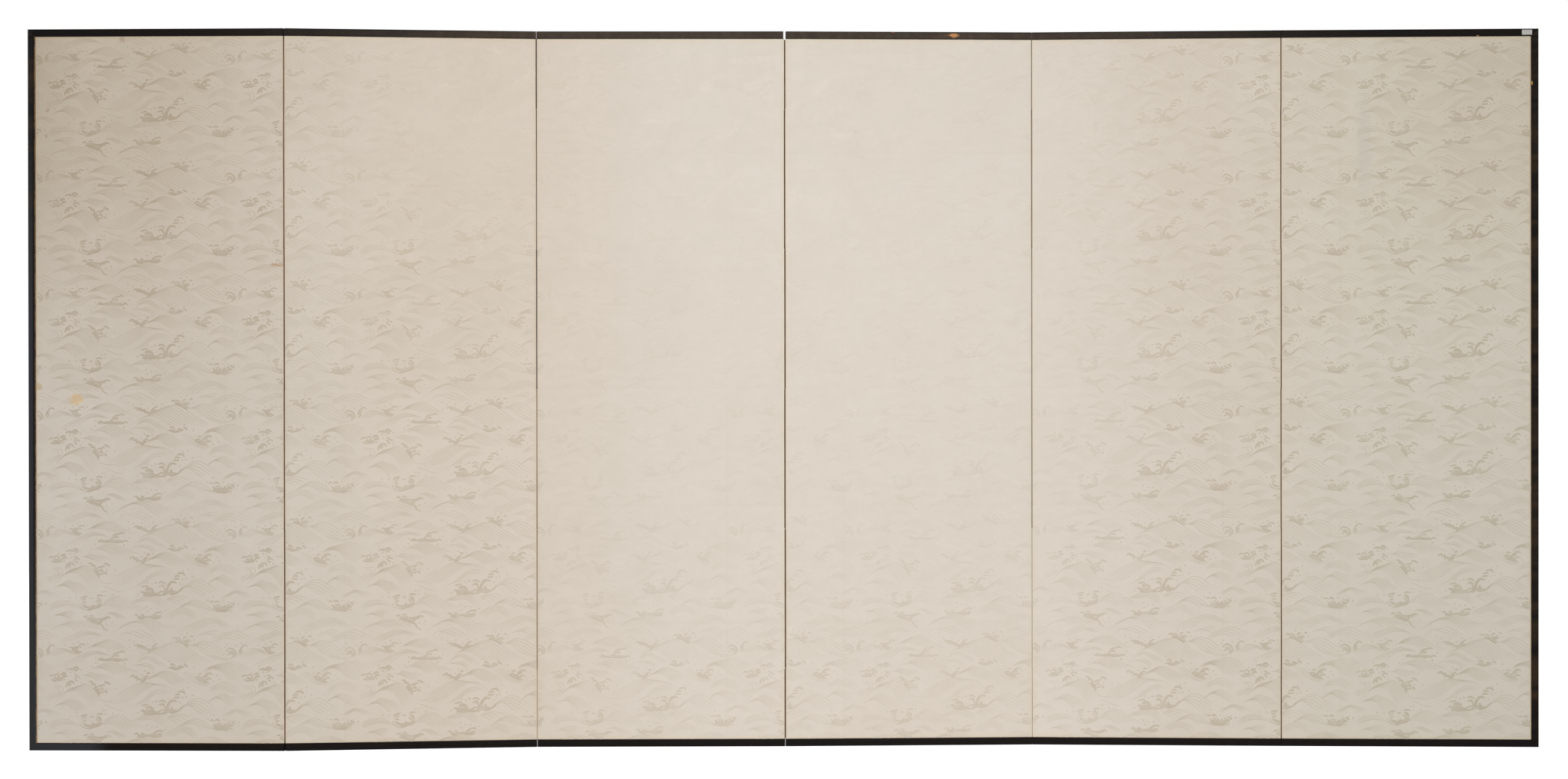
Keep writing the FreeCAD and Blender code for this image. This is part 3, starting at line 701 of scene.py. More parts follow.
def printing_block():
    """One repeat of the wave block: points (x, z, rise) in mm, quads, and each quad's ink (0 for swell
    lines, 1 for foam and drops, 2 for the crests' thin bodies)."""
    s = sizes()
    swell_paths = []
    for lines, (upper, lower) in read_marks(SWELLS):
        high, low = even_path(upper, SWELL_POINTS), even_path(lower, SWELL_POINTS)
        for share in np.linspace(0, 1, int(lines)) if lines > 1 else (0.0,):
            swell_paths.append(high + (low - high) * share)
    foam_paths, foam_widths = single_marks(FOAM)
    wash_paths, wash_widths = single_marks(WASH)
    wash, wash_quads = brush_marks(wash_paths, WASH_FULLNESS * wash_widths, WASH_ENDS)
    wash[:, 2] *= WASH_RISE
    middles = read_points(DROPS)
    parts = [brush_marks(np.array(swell_paths), np.full(len(swell_paths), s.swell_width), SWELL_ENDS),
             brush_marks(foam_paths, foam_widths * FOAM_FULLNESS, FOAM_ENDS), drops(middles, s.drop_radius),
             (wash, wash_quads)]
    inks = np.concatenate([np.full(len(quads), ink) for (_, quads), ink in zip(parts, (0, 1, 1, 2))])
    starts = np.cumsum([0] + [len(points) for points, _ in parts[:-1]])
    return (np.concatenate([points for points, _ in parts]),
            np.concatenate([quads + start for (_, quads), start in zip(parts, starts)]), inks)


def printed_panel(number, block):
    """The block set edge to edge over one panel's back: its points are repeated at every block place, held
    inside the paper's flat face, and lifted by the paper's cockle plus their own rise."""
    points, quads, inks = block
    s = sizes()
    left, foot, width = first_block(number)
    shift = np.array([(left + i * width, foot + j * BLOCK_HEIGHT, 0.0)
                      for i in range(-2, 3) for j in range(-2, 8)])
    all_points = (points[None] * (BLOCK_STRETCH, 1.0, 1.0) + shift[:, None]).reshape(-1, 3)
    all_quads = (quads[None] + (np.arange(len(shift)) * len(points))[:, None, None]).reshape(-1, 4)
    all_inks = np.tile(inks, len(shift))
    low_x, high_gap = (edge_apart(number, left, False) + s.edge_round if has_fold(number, left) else END_FACE
                       for left in (True, False))
    high_x = PITCH - high_gap
    low_z, high_z = PAPER_FOOT + PRINT_INSET, PAPER_HEAD - PRINT_INSET
    x, z = all_points[:, 0], all_points[:, 1]
    inside = (x > low_x) & (x < high_x) & (z > low_z) & (z < high_z)
    keep = inside[all_quads].all(axis=1) | (inside[all_quads].sum(axis=1) >= 2)
    all_quads, all_inks = all_quads[keep], all_inks[keep]
    used, new_numbers = np.unique(all_quads, return_inverse=True)
    kept = all_points[used]
    x, z = np.clip(kept[:, 0], low_x, high_x), np.clip(kept[:, 1], low_z, high_z)
    rise = np.where((x == kept[:, 0]) & (z == kept[:, 1]), kept[:, 2], 0.0)
    y = PAPER_FACE + cockle(number, -1, x, z) - INK_SUNK + rise * s.ink_height
    uv = np.stack((x / PITCH, (z - PAPER_FOOT) / (PAPER_HEAD - PAPER_FOOT)), axis=-1)
    return new_piece(f"panel_{number}_wave_print", at_panel(number, x, -y, z), new_numbers.reshape(-1, 4),
                     [bpy.data.materials[ink] for ink in INKS], uv, all_inks)


# ------------------------------------------------------------------ hinges, edges and borders

def edge_papers(number, finish):
    """The hinge strips where they are pasted round a panel's long edges: each strip is one U profile
    (back flange, round, side wall, round, front flange) carried from its foot to its head, under the face
    papers. The side wall lies near the fold line where the strip leaves this panel."""
    s = sizes()
    points, quads, uv = [], [], []
    ends = strip_ends()
    turn = np.linspace(0, math.pi / 2, 4)
    for left in (True, False):
        if not has_fold(number, left):
            continue
        for order in range(len(ends) - 1):
            leaves = strip_leaves(number, left, order)
            wall = edge_apart(number, left, leaves) + EDGE_COVER
            r, face = EDGE_TURN, PAPER_FACE - s.paper_thickness - EDGE_UNDER
            x = np.concatenate(((EDGE_FLANGE,), wall + r * (1 - np.cos(turn[::-1])),
                                wall + r * (1 - np.cos(turn)), (EDGE_FLANGE,)))
            y = np.concatenate(((-face,), -(face - r + r * np.sin(turn[::-1])),
                                face - r + r * np.sin(turn), (face,)))
            z = np.linspace(ends[order] + STRIP_GAP / 2, ends[order + 1] - STRIP_GAP / 2, 13)
            grid_x, grid_z = np.meshgrid(x if left else PITCH - x, z)
            grid_y = np.broadcast_to(y, grid_x.shape)
            first = sum(len(p) for p in points)
            points.append(at_panel(number, grid_x, grid_y, grid_z).reshape(-1, 3))
            quads.append(lattice(len(z), len(x), first, turned=left))
            u = np.broadcast_to(np.linspace(0, 0.45, len(x)) + (0.0 if left else 0.5), grid_x.shape)
            uv.append(np.stack((u, grid_z / PAPER_HEAD), axis=-1).reshape(-1, 2))
    piece = new_piece(f"panel_{number}_edge_papers", np.concatenate(points), np.concatenate(quads), [finish],
                      np.concatenate(uv))
    return give_wall(piece, EDGE_WALL)


def fold_hinge(fold, finishes):
    """The bare middle of a fold's paper hinge: six strips that cross from one panel's face to the next
    beside the fold line. Each is a band of seven points across, flat on both panels and bowed a little
    towards the fold line between them."""
    side = fold_side(fold)
    across = np.array((-1.0, -0.65, -0.3, 0.0, 0.3, 0.65, 1.0))
    lift = np.array((0.06, 0.12, 0.22, 0.28, 0.22, 0.12, 0.06)) + PAPER_FACE
    halves = HINGE_HALVES[fold]
    ends = strip_ends()
    points, quads, uv, kinds = [], [], [], []
    for order in range(len(ends) - 1):
        z = np.linspace(ends[order] + STRIP_GAP / 2, ends[order + 1] - STRIP_GAP / 2, 15)
        x = np.broadcast_to(across[None, :] * halves[order % len(halves)], (len(z), len(across)))
        y = np.broadcast_to(side * lift, x.shape)
        rows = np.broadcast_to(z[:, None], x.shape)
        one = at_panel(fold, PITCH + x, y, rows)
        other = at_panel(fold + 1, x, y, rows)
        middle = (one + other) / 2
        place = np.where(x[..., None] < -1e-6, one, np.where(x[..., None] > 1e-6, other, middle))
        points.append(place.reshape(-1, 3))
        quads.append(lattice(len(z), len(across), order * len(z) * len(across), turned=side > 0))
        uv.append(np.stack((x / max(halves) / 2 + 0.5, rows / PAPER_HEAD), axis=-1).reshape(-1, 2))
        kinds.append(np.full(len(quads[-1]), order % len(finishes)))
    piece = new_piece(f"fold_{fold}_hinge", np.concatenate(points), np.concatenate(quads), finishes,
                      np.concatenate(uv), np.concatenate(kinds))
    start = at_panel(fold, PITCH - max(halves), 0.0, HINGE_MIDDLE)
    end = at_panel(fold + 1, max(halves), 0.0, HINGE_MIDDLE)
    return give_wall(piece, HINGE_WALL), start, end


def border_band(number, x_span, z_span, upright, first):
    """One pasted band of brocade: a grid over its rectangle whose rim turns down to the leaf ground over
    its last points, on the leaf paper's cockle. The UV runs along and across the band, in metres."""
    (x0, x1), (z0, z1) = x_span, z_span
    drop = np.array(CLOTH_DROP)
    inner_x, inner_z = (np.linspace(low + 2, high - 2, max(4, int((high - low) / CLOTH_STEP)))
                        for low, high in (x_span, z_span))
    x = np.concatenate((x0 + drop, inner_x, (x1 - drop)[::-1]))
    z = np.concatenate((z0 + drop, inner_z, (z1 - drop)[::-1]))
    grid_x, grid_z = np.meshgrid(x, z)
    rim = np.minimum(np.minimum(grid_x - x0, x1 - grid_x), np.minimum(grid_z - z0, z1 - grid_z))
    cloth = CLOTH_FACE - PAPER_FACE
    swell = np.minimum(cockle(number, 1, grid_x, grid_z), CLOTH_SWELL)
    y = PAPER_FACE + swell + cloth * np.sqrt(np.clip(rim / CLOTH_DROP[-1], 0.0, 1.0)) - CLOTH_SUNK
    along, over = (grid_z, grid_x - x0) if upright else (grid_x, grid_z - z0)
    uv = np.stack((along * MM, over * MM), axis=-1)
    return (at_panel(number, grid_x, y, grid_z).reshape(-1, 3), lattice(len(z), len(x), first, turned=True),
            uv.reshape(-1, 2))


def brocade_border(number, finish):
    """A panel's border bands: along its foot and head, and up the screen's own two ends."""
    left, right_gap = (edge_apart(number, side, False) + 1.0 if has_fold(number, side) else END_CLOTH
                       for side in (True, False))
    right = PITCH - right_gap
    foot, head = PAPER_FOOT + CLOTH_INSET, PAPER_HEAD - CLOTH_INSET
    bands = [((left, right), (foot, foot + BORDER), False), ((left, right), (head - BORDER, head), False)]
    if not has_fold(number, True):
        bands.append(((left, left + BORDER), (foot + BORDER, head - BORDER), True))
    if not has_fold(number, False):
        bands.append(((right - BORDER, right), (foot + BORDER, head - BORDER), True))
    points, quads, uv = [], [], []
    for x_span, z_span, upright in bands:
        p, q, m = border_band(number, x_span, z_span, upright, sum(len(p) for p in points))
        points.append(p)
        quads.append(q)
        uv.append(m)
    quads = np.concatenate(quads)
    piece = new_piece(f"panel_{number}_brocade_border", np.concatenate(points), quads, [finish])
    add_map(piece, "Weave", quads, np.concatenate(uv))
    return piece


# ------------------------------------------------------------------ shader making

def rgba(colour):
    """A three-part colour with full alpha, or a socket as it is."""
    return colour if isinstance(colour, bpy.types.NodeSocket) else (*colour, 1.0)


def put(tree, kind, inputs=None, output=0, **settings):
    """Adds one shader node with its settings, joins or fills its inputs, and gives one output socket."""
    node = tree.nodes.new(kind)
    for key, value in settings.items():
        setattr(node, key, value)
    for key, value in (inputs or {}).items():
        if isinstance(value, bpy.types.NodeSocket):
            tree.links.new(value, node.inputs[key])
        else:
            node.inputs[key].default_value = value
    return node.outputs[output]


def maths(tree, operation, a, b=0.0, clamp=False):
    return put(tree, "ShaderNodeMath", {0: a, 1: b}, operation=operation, use_clamp=clamp)


def times(tree, a, b):
    return maths(tree, "MULTIPLY", a, b)


def plus(tree, a, b, clamp=False):
    return maths(tree, "ADD", a, b, clamp)


def minus(tree, a, b):
    return maths(tree, "SUBTRACT", a, b)


def mix(tree, share, a, b, way="MIX"):
    """The colour a with the share of b laid over it."""
    return put(tree, "ShaderNodeMix", {0: share, 6: rgba(a), 7: rgba(b)}, output=2, data_type="RGBA",
               blend_type=way)


def product(tree, a, b):
    """One colour multiplied by another."""
    return mix(tree, 1.0, a, b, "MULTIPLY")


def tinted(tree, share, colour, factors):
    """The colour with the share of its product with the factors laid over it."""
    return mix(tree, share, colour, product(tree, colour, factors))


def grey(tree, value):
    """The grey of a value."""
    return put(tree, "ShaderNodeCombineColor", {0: value, 1: value, 2: value})


def scaled(colour, factor):
    """A plain colour made lighter or darker by a factor, at most white."""
    return tuple(min(v * factor, 1.0) for v in colour)


def spread(tree, value, low, high, to_low=0.0, to_high=1.0):
    """The value carried smoothly from the span low..high to the span to_low..to_high, and held there."""
    return put(tree, "ShaderNodeMapRange", {"Value": value, "From Min": low, "From Max": high,
                                            "To Min": to_low, "To Max": to_high},
               interpolation_type="SMOOTHSTEP")


def noise(tree, vector, scale, detail=3.0, roughness=0.55):
    return put(tree, "ShaderNodeTexNoise", {"Vector": vector, "Scale": scale, "Detail": detail,
                                            "Roughness": roughness})


def stretched(tree, vector, factors):
    """The vector with each part multiplied, so that a pattern on it is drawn out."""
    return put(tree, "ShaderNodeVectorMath", {0: vector, 1: factors}, operation="MULTIPLY")


def parts(tree, vector):
    node = tree.nodes.new("ShaderNodeSeparateXYZ")
    tree.links.new(vector, node.inputs[0])
    return node.outputs


def place_of(tree):
    """Where the point is in the row frame, in metres."""
    return put(tree, "ShaderNodeTexCoord", output="Object")


def bump(tree, height, strength, distance):
    return put(tree, "ShaderNodeBump", {"Height": height, "Strength": strength, "Distance": distance})


def shader_group(name, inputs, outputs, build):
    """A node group with named sockets. `build` gets the tree and the input sockets by name, and gives the
    output sockets by name."""
    kinds = {"value": "NodeSocketFloat", "vector": "NodeSocketVector", "colour": "NodeSocketColor"}
    tree = bpy.data.node_groups.new(name, "ShaderNodeTree")
    for label, kind, default in inputs:
        socket = tree.interface.new_socket(name=label, in_out="INPUT", socket_type=kinds[kind])
        if default is not None:
            socket.default_value = default
    for label, kind in outputs:
        tree.interface.new_socket(name=label, in_out="OUTPUT", socket_type=kinds[kind])
    source, end = tree.nodes.new("NodeGroupInput"), tree.nodes.new("NodeGroupOutput")
    for label, socket in build(tree, {label: source.outputs[label] for label, _, _ in inputs}).items():
        tree.links.new(socket, end.inputs[label])
    return tree


def group_part(tree, name, inputs):
    """Places a shader group in a material and gives its output sockets."""
    node = tree.nodes.new("ShaderNodeGroup")
    node.node_tree = bpy.data.node_groups[name]
    for key, value in inputs.items():
        if isinstance(value, bpy.types.NodeSocket):
            tree.links.new(value, node.inputs[key])
        else:
            node.inputs[key].default_value = value
    return node.outputs


def new_finish(name, shine):
    """A material with its Principled shader, whose plain numbers are in `shine`."""
    finish = bpy.data.materials.new(name)
    finish.use_nodes = True
    tree = finish.node_tree
    tree.nodes.clear()
    surface = tree.nodes.new("ShaderNodeBsdfPrincipled")
    out = tree.nodes.new("ShaderNodeOutputMaterial")
    tree.links.new(surface.outputs[0], out.inputs[0])
    for key, value in shine.items():
        surface.inputs[key].default_value = value
    return finish, tree, surface


# ------------------------------------------------------------------ shared effects

def build_paper_fibres(tree, given):
    """Long and short paper fibres: fine noise drawn out along and across, over soft cloudy pulp."""
    place = given["Place"]
    long_fibres = noise(tree, stretched(tree, place, (900.0, 900.0, 120.0)), 1.0, 4.0, 0.65)
    cross_fibres = noise(tree, stretched(tree, place, (150.0, 150.0, 1100.0)), 1.0, 4.0, 0.65)
    pulp = noise(tree, place, 38.0, 5.0, 0.6)
    both = plus(tree, times(tree, long_fibres, 0.5), times(tree, cross_fibres, 0.5))
    height = plus(tree, times(tree, both, 0.7), times(tree, pulp, 0.3))
    shade = spread(tree, height, 0.3, 0.7, 0.965, 1.03)
    return {"Shade": shade, "Height": height}


def build_aged_and_shaded_tone(tree, given):
    """Age of the back papers and painted shade as one multiplied tone. The paper is browner towards the
    screen's left end, darker at both upper ends and most at the upper left corner, slightly browner and
    greener to the right, orange on the last rim beside the right end rail, and clouded all over. The
    browning and darkening away from the middle and towards the upper ends is partly real age and partly
    painted shade, the fall-off of the light; the clean tone lies above 1 and paints light on the middle."""
    place = given["Place"]
    x, _, z = parts(tree, place)
    cloud = noise(tree, place, 1.9, 4.0, 0.6)
    patch = noise(tree, place, 9.0, 4.0, 0.6)
    drift = plus(tree, x, times(tree, minus(tree, cloud, 0.5), 0.5))
    # Painted shade over real browning: the paper darkens towards the upper left end, a little away from the
    # middle, towards both upper ends and most at the upper left corner.
    left = times(tree, spread(tree, drift, -2.1, -0.9, 1.0, 0.0), spread(tree, z, 0.35, 1.75, 0.1, 0.9))
    near_end = spread(tree, x, -1.75, -1.45, 0.3, 1.0)
    sides = plus(tree, times(tree, spread(tree, x, -0.8, -0.15, 0.42, 0.0), near_end),
                 spread(tree, x, 0.55, 1.1, 0.0, 0.40))
    upper = spread(tree, z, 0.9, 1.7)
    ends = times(tree, spread(tree, maths(tree, "ABSOLUTE", x), 1.2, 1.78, 0.0, 0.45), upper)
    corner = times(tree, spread(tree, x, -1.78, -1.66, 1.0, 0.0), upper)
    # The age share below is partly real browning and partly this painted shade.
    age = plus(tree, plus(tree, left, sides), ends, clamp=True)
    old = mix(tree, spread(tree, z, 0.3, 1.4), (0.86, 0.84, 0.80), given["Old tone"])
    warm = times(tree, spread(tree, x, -1.2, -0.9), spread(tree, x, -0.6, -0.3, 1.0, 0.0))
    # Painted light: the clean tone lies above 1, lifting the middle panels.
    clean = mix(tree, warm, (1.042, 1.024, 1.008), (1.062, 1.022, 0.990))
    tone = mix(tree, age, clean, old)
    tone = tinted(tree, spread(tree, patch, 0.35, 0.7, 0.0, 0.35), tone, (0.955, 0.94, 0.91))
    # Painted shade on the upper left corner.
    tone = tinted(tree, corner, tone, (0.90, 0.89, 0.87))
    tone = tinted(tree, spread(tree, x, 1.0, 1.5), tone, (0.975, 1.0, 0.99))
    tone = tinted(tree, spread(tree, x, 1.7845, 1.7865), tone, (1.0, 0.74, 0.45))
    return {"Tone": tone}


def build_print_glare(tree, given):
    """Painted glare on the mica print: how far the ink's colour is lifted to the paper's, where the light's
    sheen washes the print out. Most on the middle panels, less towards their foot, and over the second
    panel's upper right corner; not at all towards the screen's ends."""
    x, _, z = parts(tree, given["Place"])
    middle = times(tree, spread(tree, x, -0.61, -0.57), spread(tree, x, 0.55, 1.0, 1.0, 0.0))
    corner = times(tree, spread(tree, x, -1.2, -0.8), spread(tree, x, -0.61, -0.57, 1.0, 0.0))
    corner = times(tree, corner, spread(tree, z, 1.1, 1.5))
    upper = spread(tree, z, 0.15, 0.60, 0.30, 0.64)
    return {"Painted glare": times(tree, plus(tree, middle, corner), upper)}


def build_stain(tree, given):
    """One stain: 1 inside a ragged ellipse round its centre and 0 outside, with a soft rim."""
    reach = put(tree, "ShaderNodeVectorMath", {0: given["Place"], 1: given["Centre"]}, operation="SUBTRACT")
    reach = put(tree, "ShaderNodeVectorMath", {0: reach, 1: given["Half size"]}, operation="DIVIDE")
    x, _, z = parts(tree, reach)
    far = maths(tree, "SQRT", plus(tree, times(tree, x, x), times(tree, z, z)))
    ragged = times(tree, minus(tree, noise(tree, given["Place"], 130.0, 3.0, 0.6), 0.5), 1.9)
    return {"Mask": spread(tree, plus(tree, far, ragged), given["Inner"], 1.1, 1.0, 0.0)}


def build_margins(tree, given):
    """Distance in mm from a paper's nearest side and its nearest rim, from its flat map."""
    u, v, _ = parts(tree, given["Map"])
    side = times(tree, maths(tree, "MINIMUM", u, minus(tree, 1.0, u)), given["Width"])
    level = times(tree, maths(tree, "MINIMUM", v, minus(tree, 1.0, v)), given["Height"])
    return {"Side": side, "Rim": maths(tree, "MINIMUM", side, level), "Level": level}


def build_sheet_joints(tree, given):
    """Sheets pasted edge over edge, from a map that counts them: the covered edge's fine line, the doubled
    band beside it, and each sheet's own tone."""
    u, v, _ = parts(tree, given["Map"])
    across = times(tree, maths(tree, "FRACT", u), given["Width"])
    up = times(tree, maths(tree, "FRACT", v), given["Height"])
    into = maths(tree, "MINIMUM", across, up)
    cell = put(tree, "ShaderNodeCombineXYZ", {0: maths(tree, "FLOOR", u), 1: maths(tree, "FLOOR", v)})
    own = put(tree, "ShaderNodeTexWhiteNoise", {0: cell}, noise_dimensions="3D")
    return {"Line": spread(tree, into, 0.5, 1.0, 1.0, 0.0), "Doubled": spread(tree, into, 4.5, 5.5, 1.0, 0.0),
            "Own": own}


def build_leaf_squares(tree, given):
    """Leaf laid in squares from the foot upwards: each square has its own tone, and a narrow doubled band
    where it overlaps its neighbour."""
    u, v, _ = parts(tree, given["Map"])
    across = maths(tree, "DIVIDE", times(tree, u, given["Width"]), given["Square"])
    up = maths(tree, "DIVIDE", times(tree, v, given["Height"]), given["Square"])
    wander = times(tree, minus(tree, noise(tree, given["Place"], 14.0, 3.0), 0.5), 0.05)
    across, up = plus(tree, across, wander), plus(tree, up, wander)
    cell = put(tree, "ShaderNodeCombineXYZ", {0: maths(tree, "FLOOR", across), 1: maths(tree, "FLOOR", up)})
    cell = put(tree, "ShaderNodeVectorMath", {0: cell, 1: given["Start"]}, operation="ADD")
    own = put(tree, "ShaderNodeTexWhiteNoise", {0: cell}, noise_dimensions="3D")
    into = maths(tree, "MINIMUM", maths(tree, "FRACT", across), maths(tree, "FRACT", up))
    overlap = spread(tree, into, 0.030, 0.042, 1.0, 0.0)
    return {"Own": own, "Overlap": overlap}


def build_lacquer(tree, given):
    """Old lacquer: brush drift, dust with a brown painted sheen on the upper rails' middle, dust in fine
    specks, a painted cold sheen at the left end that is held off the end rails' outer faces and the foot,
    painted shade in dark rims along the top rails' upper and inner edges, and the brown under-layer on
    worn edges."""
    place = given["Place"]
    drift = noise(tree, stretched(tree, place, (3.0, 12.0, 30.0)), 1.0, 4.0, 0.6)
    specks = spread(tree, noise(tree, place, 620.0, 2.0, 0.6), 0.66, 0.74)
    rubbed = spread(tree, noise(tree, place, 55.0, 5.0, 0.7), 0.38, 0.62)
    wear = times(tree, given["Edge"], plus(tree, times(tree, rubbed, 0.75), 0.25))
    colour = mix(tree, spread(tree, drift, 0.35, 0.75, 0.0, 0.12), given["Lacquer"], given["Worn"])
    x, _, z = parts(tree, place)
    # Dust and painted sheen: a brown tint on the top rails' middle stands in part for the key light's
    # reflection there.
    dust_and_sheen = times(tree, spread(tree, z, 1.0, 1.7), spread(tree, drift, 0.2, 0.8, 0.7, 1.0))
    dust_and_sheen = times(tree, dust_and_sheen, spread(tree, maths(tree, "ABSOLUTE", x), 0.4, 1.5, 1.0, 0.0))
    dust_and_sheen = times(tree, dust_and_sheen, spread(tree, x, 1.72, 1.79, 1.0, 0.0))
    colour = mix(tree, dust_and_sheen, colour, mix(tree, rubbed, (0.062, 0.044, 0.031), (0.082, 0.060, 0.044)))
    # Painted sheen: a cold grey-blue tint at the left end, kept near-black on the end rails' outer faces and
    # towards the foot.
    cold = times(tree, spread(tree, x, -1.67, -1.60, 1.0, 0.0), spread(tree, z, 1.0, 1.6, 1.0, 0.25))
    outer = maths(tree, "MAXIMUM", spread(tree, maths(tree, "ABSOLUTE", x), 1.7920, 1.7955),
                  spread(tree, z, 0.1, 0.7, 1.0, 0.0))
    colour = mix(tree, cold, colour, mix(tree, outer, (0.010, 0.008, 0.009), (0.033, 0.034, 0.038)))
    # Painted shade: near-black lines along the top rails' upper outer edge and their inner edge over the
    # paper.
    rims = maths(tree, "MAXIMUM", spread(tree, z, 1.7170, 1.7185, 0.0, 0.9),
                 spread(tree, z, 1.7030, 1.7042, 0.8, 0.0))
    rims = times(tree, rims, spread(tree, z, 1.695, 1.700))
    colour = mix(tree, rims, colour, (0.005, 0.004, 0.003))
    colour = mix(tree, times(tree, specks, 0.12), colour, (0.16, 0.13, 0.10))
    colour = mix(tree, wear, colour, given["Worn"])
    rough = plus(tree, spread(tree, drift, 0.2, 0.8, 0.58, 0.70), times(tree, wear, 0.1))
    return {"Colour": colour, "Roughness": rough, "Height": drift}


def build_wood_grain(tree, given):
    """Straight grain: rings as sine bands across, drawn out along the stated stretch, with fine pores."""
    drawn = stretched(tree, given["Place"], given["Stretch"])
    rings = noise(tree, drawn, 1.0, 5.0, 0.6)
    pores = noise(tree, drawn, 7.0, 3.0, 0.7)
    shade = plus(tree, times(tree, rings, 0.75), times(tree, pores, 0.25))
    return {"Shade": spread(tree, shade, 0.3, 0.7), "Height": shade}


def build_weave(tree, given):
    """Cloth in its own map: warp and weft as two crossed sine ridges, and lozenges with a small diamond
    inside, drawn from the distance |x| + |y| to each repeat's middle."""
    u, v, _ = parts(tree, given["Map"])
    repeat = given["Repeat"]
    cell_u = minus(tree, maths(tree, "FRACT", maths(tree, "DIVIDE", u, repeat)), 0.5)
    cell_v = minus(tree, maths(tree, "FRACT", maths(tree, "DIVIDE", v, times(tree, repeat, 0.62))), 0.5)
    far = plus(tree, maths(tree, "ABSOLUTE", cell_u), maths(tree, "ABSOLUTE", cell_v))
    line = spread(tree, maths(tree, "ABSOLUTE", minus(tree, far, 0.5)), 0.025, 0.05, 1.0, 0.0)
    heart = spread(tree, far, 0.12, 0.15, 1.0, 0.0)
    ring = spread(tree, maths(tree, "ABSOLUTE", minus(tree, far, 0.27)), 0.02, 0.04, 1.0, 0.0)
    figure = maths(tree, "MAXIMUM", line, maths(tree, "MAXIMUM", heart, ring))
    warp = maths(tree, "SINE", times(tree, u, given["Threads"]))
    weft = maths(tree, "SINE", times(tree, v, given["Threads"]))
    ridges = plus(tree, times(tree, times(tree, warp, weft), 0.5), 0.5)
    return {"Figure": figure, "Ridges": ridges}


def make_shared_effects():
    place = ("Place", "vector", None)
    flat = [("Map", "vector", None), ("Width", "value", 592.6), ("Height", "value", 1684.0)]
    shader_group("paper fibres", [place], [("Shade", "value"), ("Height", "value")], build_paper_fibres)
    # This group paints glare on the print: the ink's colour is lifted where the light's sheen falls.
    shader_group("print glare", [place], [("Painted glare", "value")], build_print_glare)
    # This group holds the back papers' age together with painted shade from the light's fall-off.
    shader_group("aged tone", [place, ("Old tone", "colour", (0.855, 0.80, 0.72, 1.0))], [("Tone", "colour")],
                 build_aged_and_shaded_tone)
    shader_group("stain", [place, ("Centre", "vector", None), ("Half size", "vector", None),
                           ("Inner", "value", 0.45)], [("Mask", "value")], build_stain)
    shader_group("margins", flat, [("Side", "value"), ("Rim", "value"), ("Level", "value")], build_margins)
    shader_group("sheet joints", [("Map", "vector", None), ("Width", "value", BLOCK_WIDTH * BLOCK_STRETCH),
                                  ("Height", "value", BLOCK_HEIGHT)],
                 [("Line", "value"), ("Doubled", "value"), ("Own", "value")], build_sheet_joints)
    shader_group("leaf squares", flat + [place, ("Square", "value", 105.0), ("Start", "vector", None)],
                 [("Own", "value"), ("Overlap", "value")], build_leaf_squares)
    shader_group("old lacquer", [place, ("Edge", "value", 0.0), ("Lacquer", "colour", None),
                                 ("Worn", "colour", None)],
                 [("Colour", "colour"), ("Roughness", "value"), ("Height", "value")], build_lacquer)
    shader_group("wood grain", [place, ("Stretch", "vector", (60.0, 60.0, 3.0))],
                 [("Shade", "value"), ("Height", "value")], build_wood_grain)
    shader_group("weave", [("Map", "vector", None), ("Repeat", "value", 0.026), ("Threads", "value", 9000.0)],
                 [("Figure", "value"), ("Ridges", "value")], build_weave)


# ------------------------------------------------------------------ finishes

# Stains on the printed papers: middle (x, z) and half size (x, z) in metres, colour, strength, and where
# between its middle (0) and its rim (1.1) each begins to fade.
STAINS = (
    ((-1.6895, 0.837), (0.016, 0.014), (0.80, 0.56, 0.31), 0.85, 0.85),
    ((-1.783, 0.868), (0.012, 0.009), (0.60, 0.44, 0.27), 0.75, 0.7),
    ((-1.208, 1.156), (0.022, 0.006), (0.50, 0.24, 0.10), 0.65, 0.3),
    ((-1.578, 1.694), (0.008, 0.008), (0.40, 0.28, 0.16), 0.6, 0.45),
    ((-1.637, 1.551), (0.005, 0.005), (0.40, 0.28, 0.16), 0.55, 0.45),
    ((-1.758, 1.527), (0.005, 0.006), (0.42, 0.30, 0.18), 0.55, 0.45),
    ((-1.760, 1.465), (0.004, 0.005), (0.42, 0.30, 0.18), 0.5, 0.45),
    ((1.392, 1.437), (0.024, 0.160), (0.50, 0.48, 0.44), 0.22, 0.3),
    ((1.622, 1.146), (0.050, 0.010), (0.48, 0.45, 0.40), 0.22, 0.3),
)


def flat_map_of(tree, name):
    """The named flat map of the piece."""
    return put(tree, "ShaderNodeUVMap", uv_map=name)


def aged_and_shaded(tree, colour, place):
    """The colour multiplied by the back papers' age and painted shade."""
    return product(tree, colour, group_part(tree, "aged tone", {"Place": place})["Tone"])


def stain_mask(tree, place, middle, half, **more):
    """The mask of one stain from its middle and half size, both (x, z) in metres."""
    return group_part(tree, "stain", {"Place": place, "Centre": (middle[0], 0.0, middle[1]),
                                      "Half size": (half[0], 1.0, half[1]), **more})["Mask"]


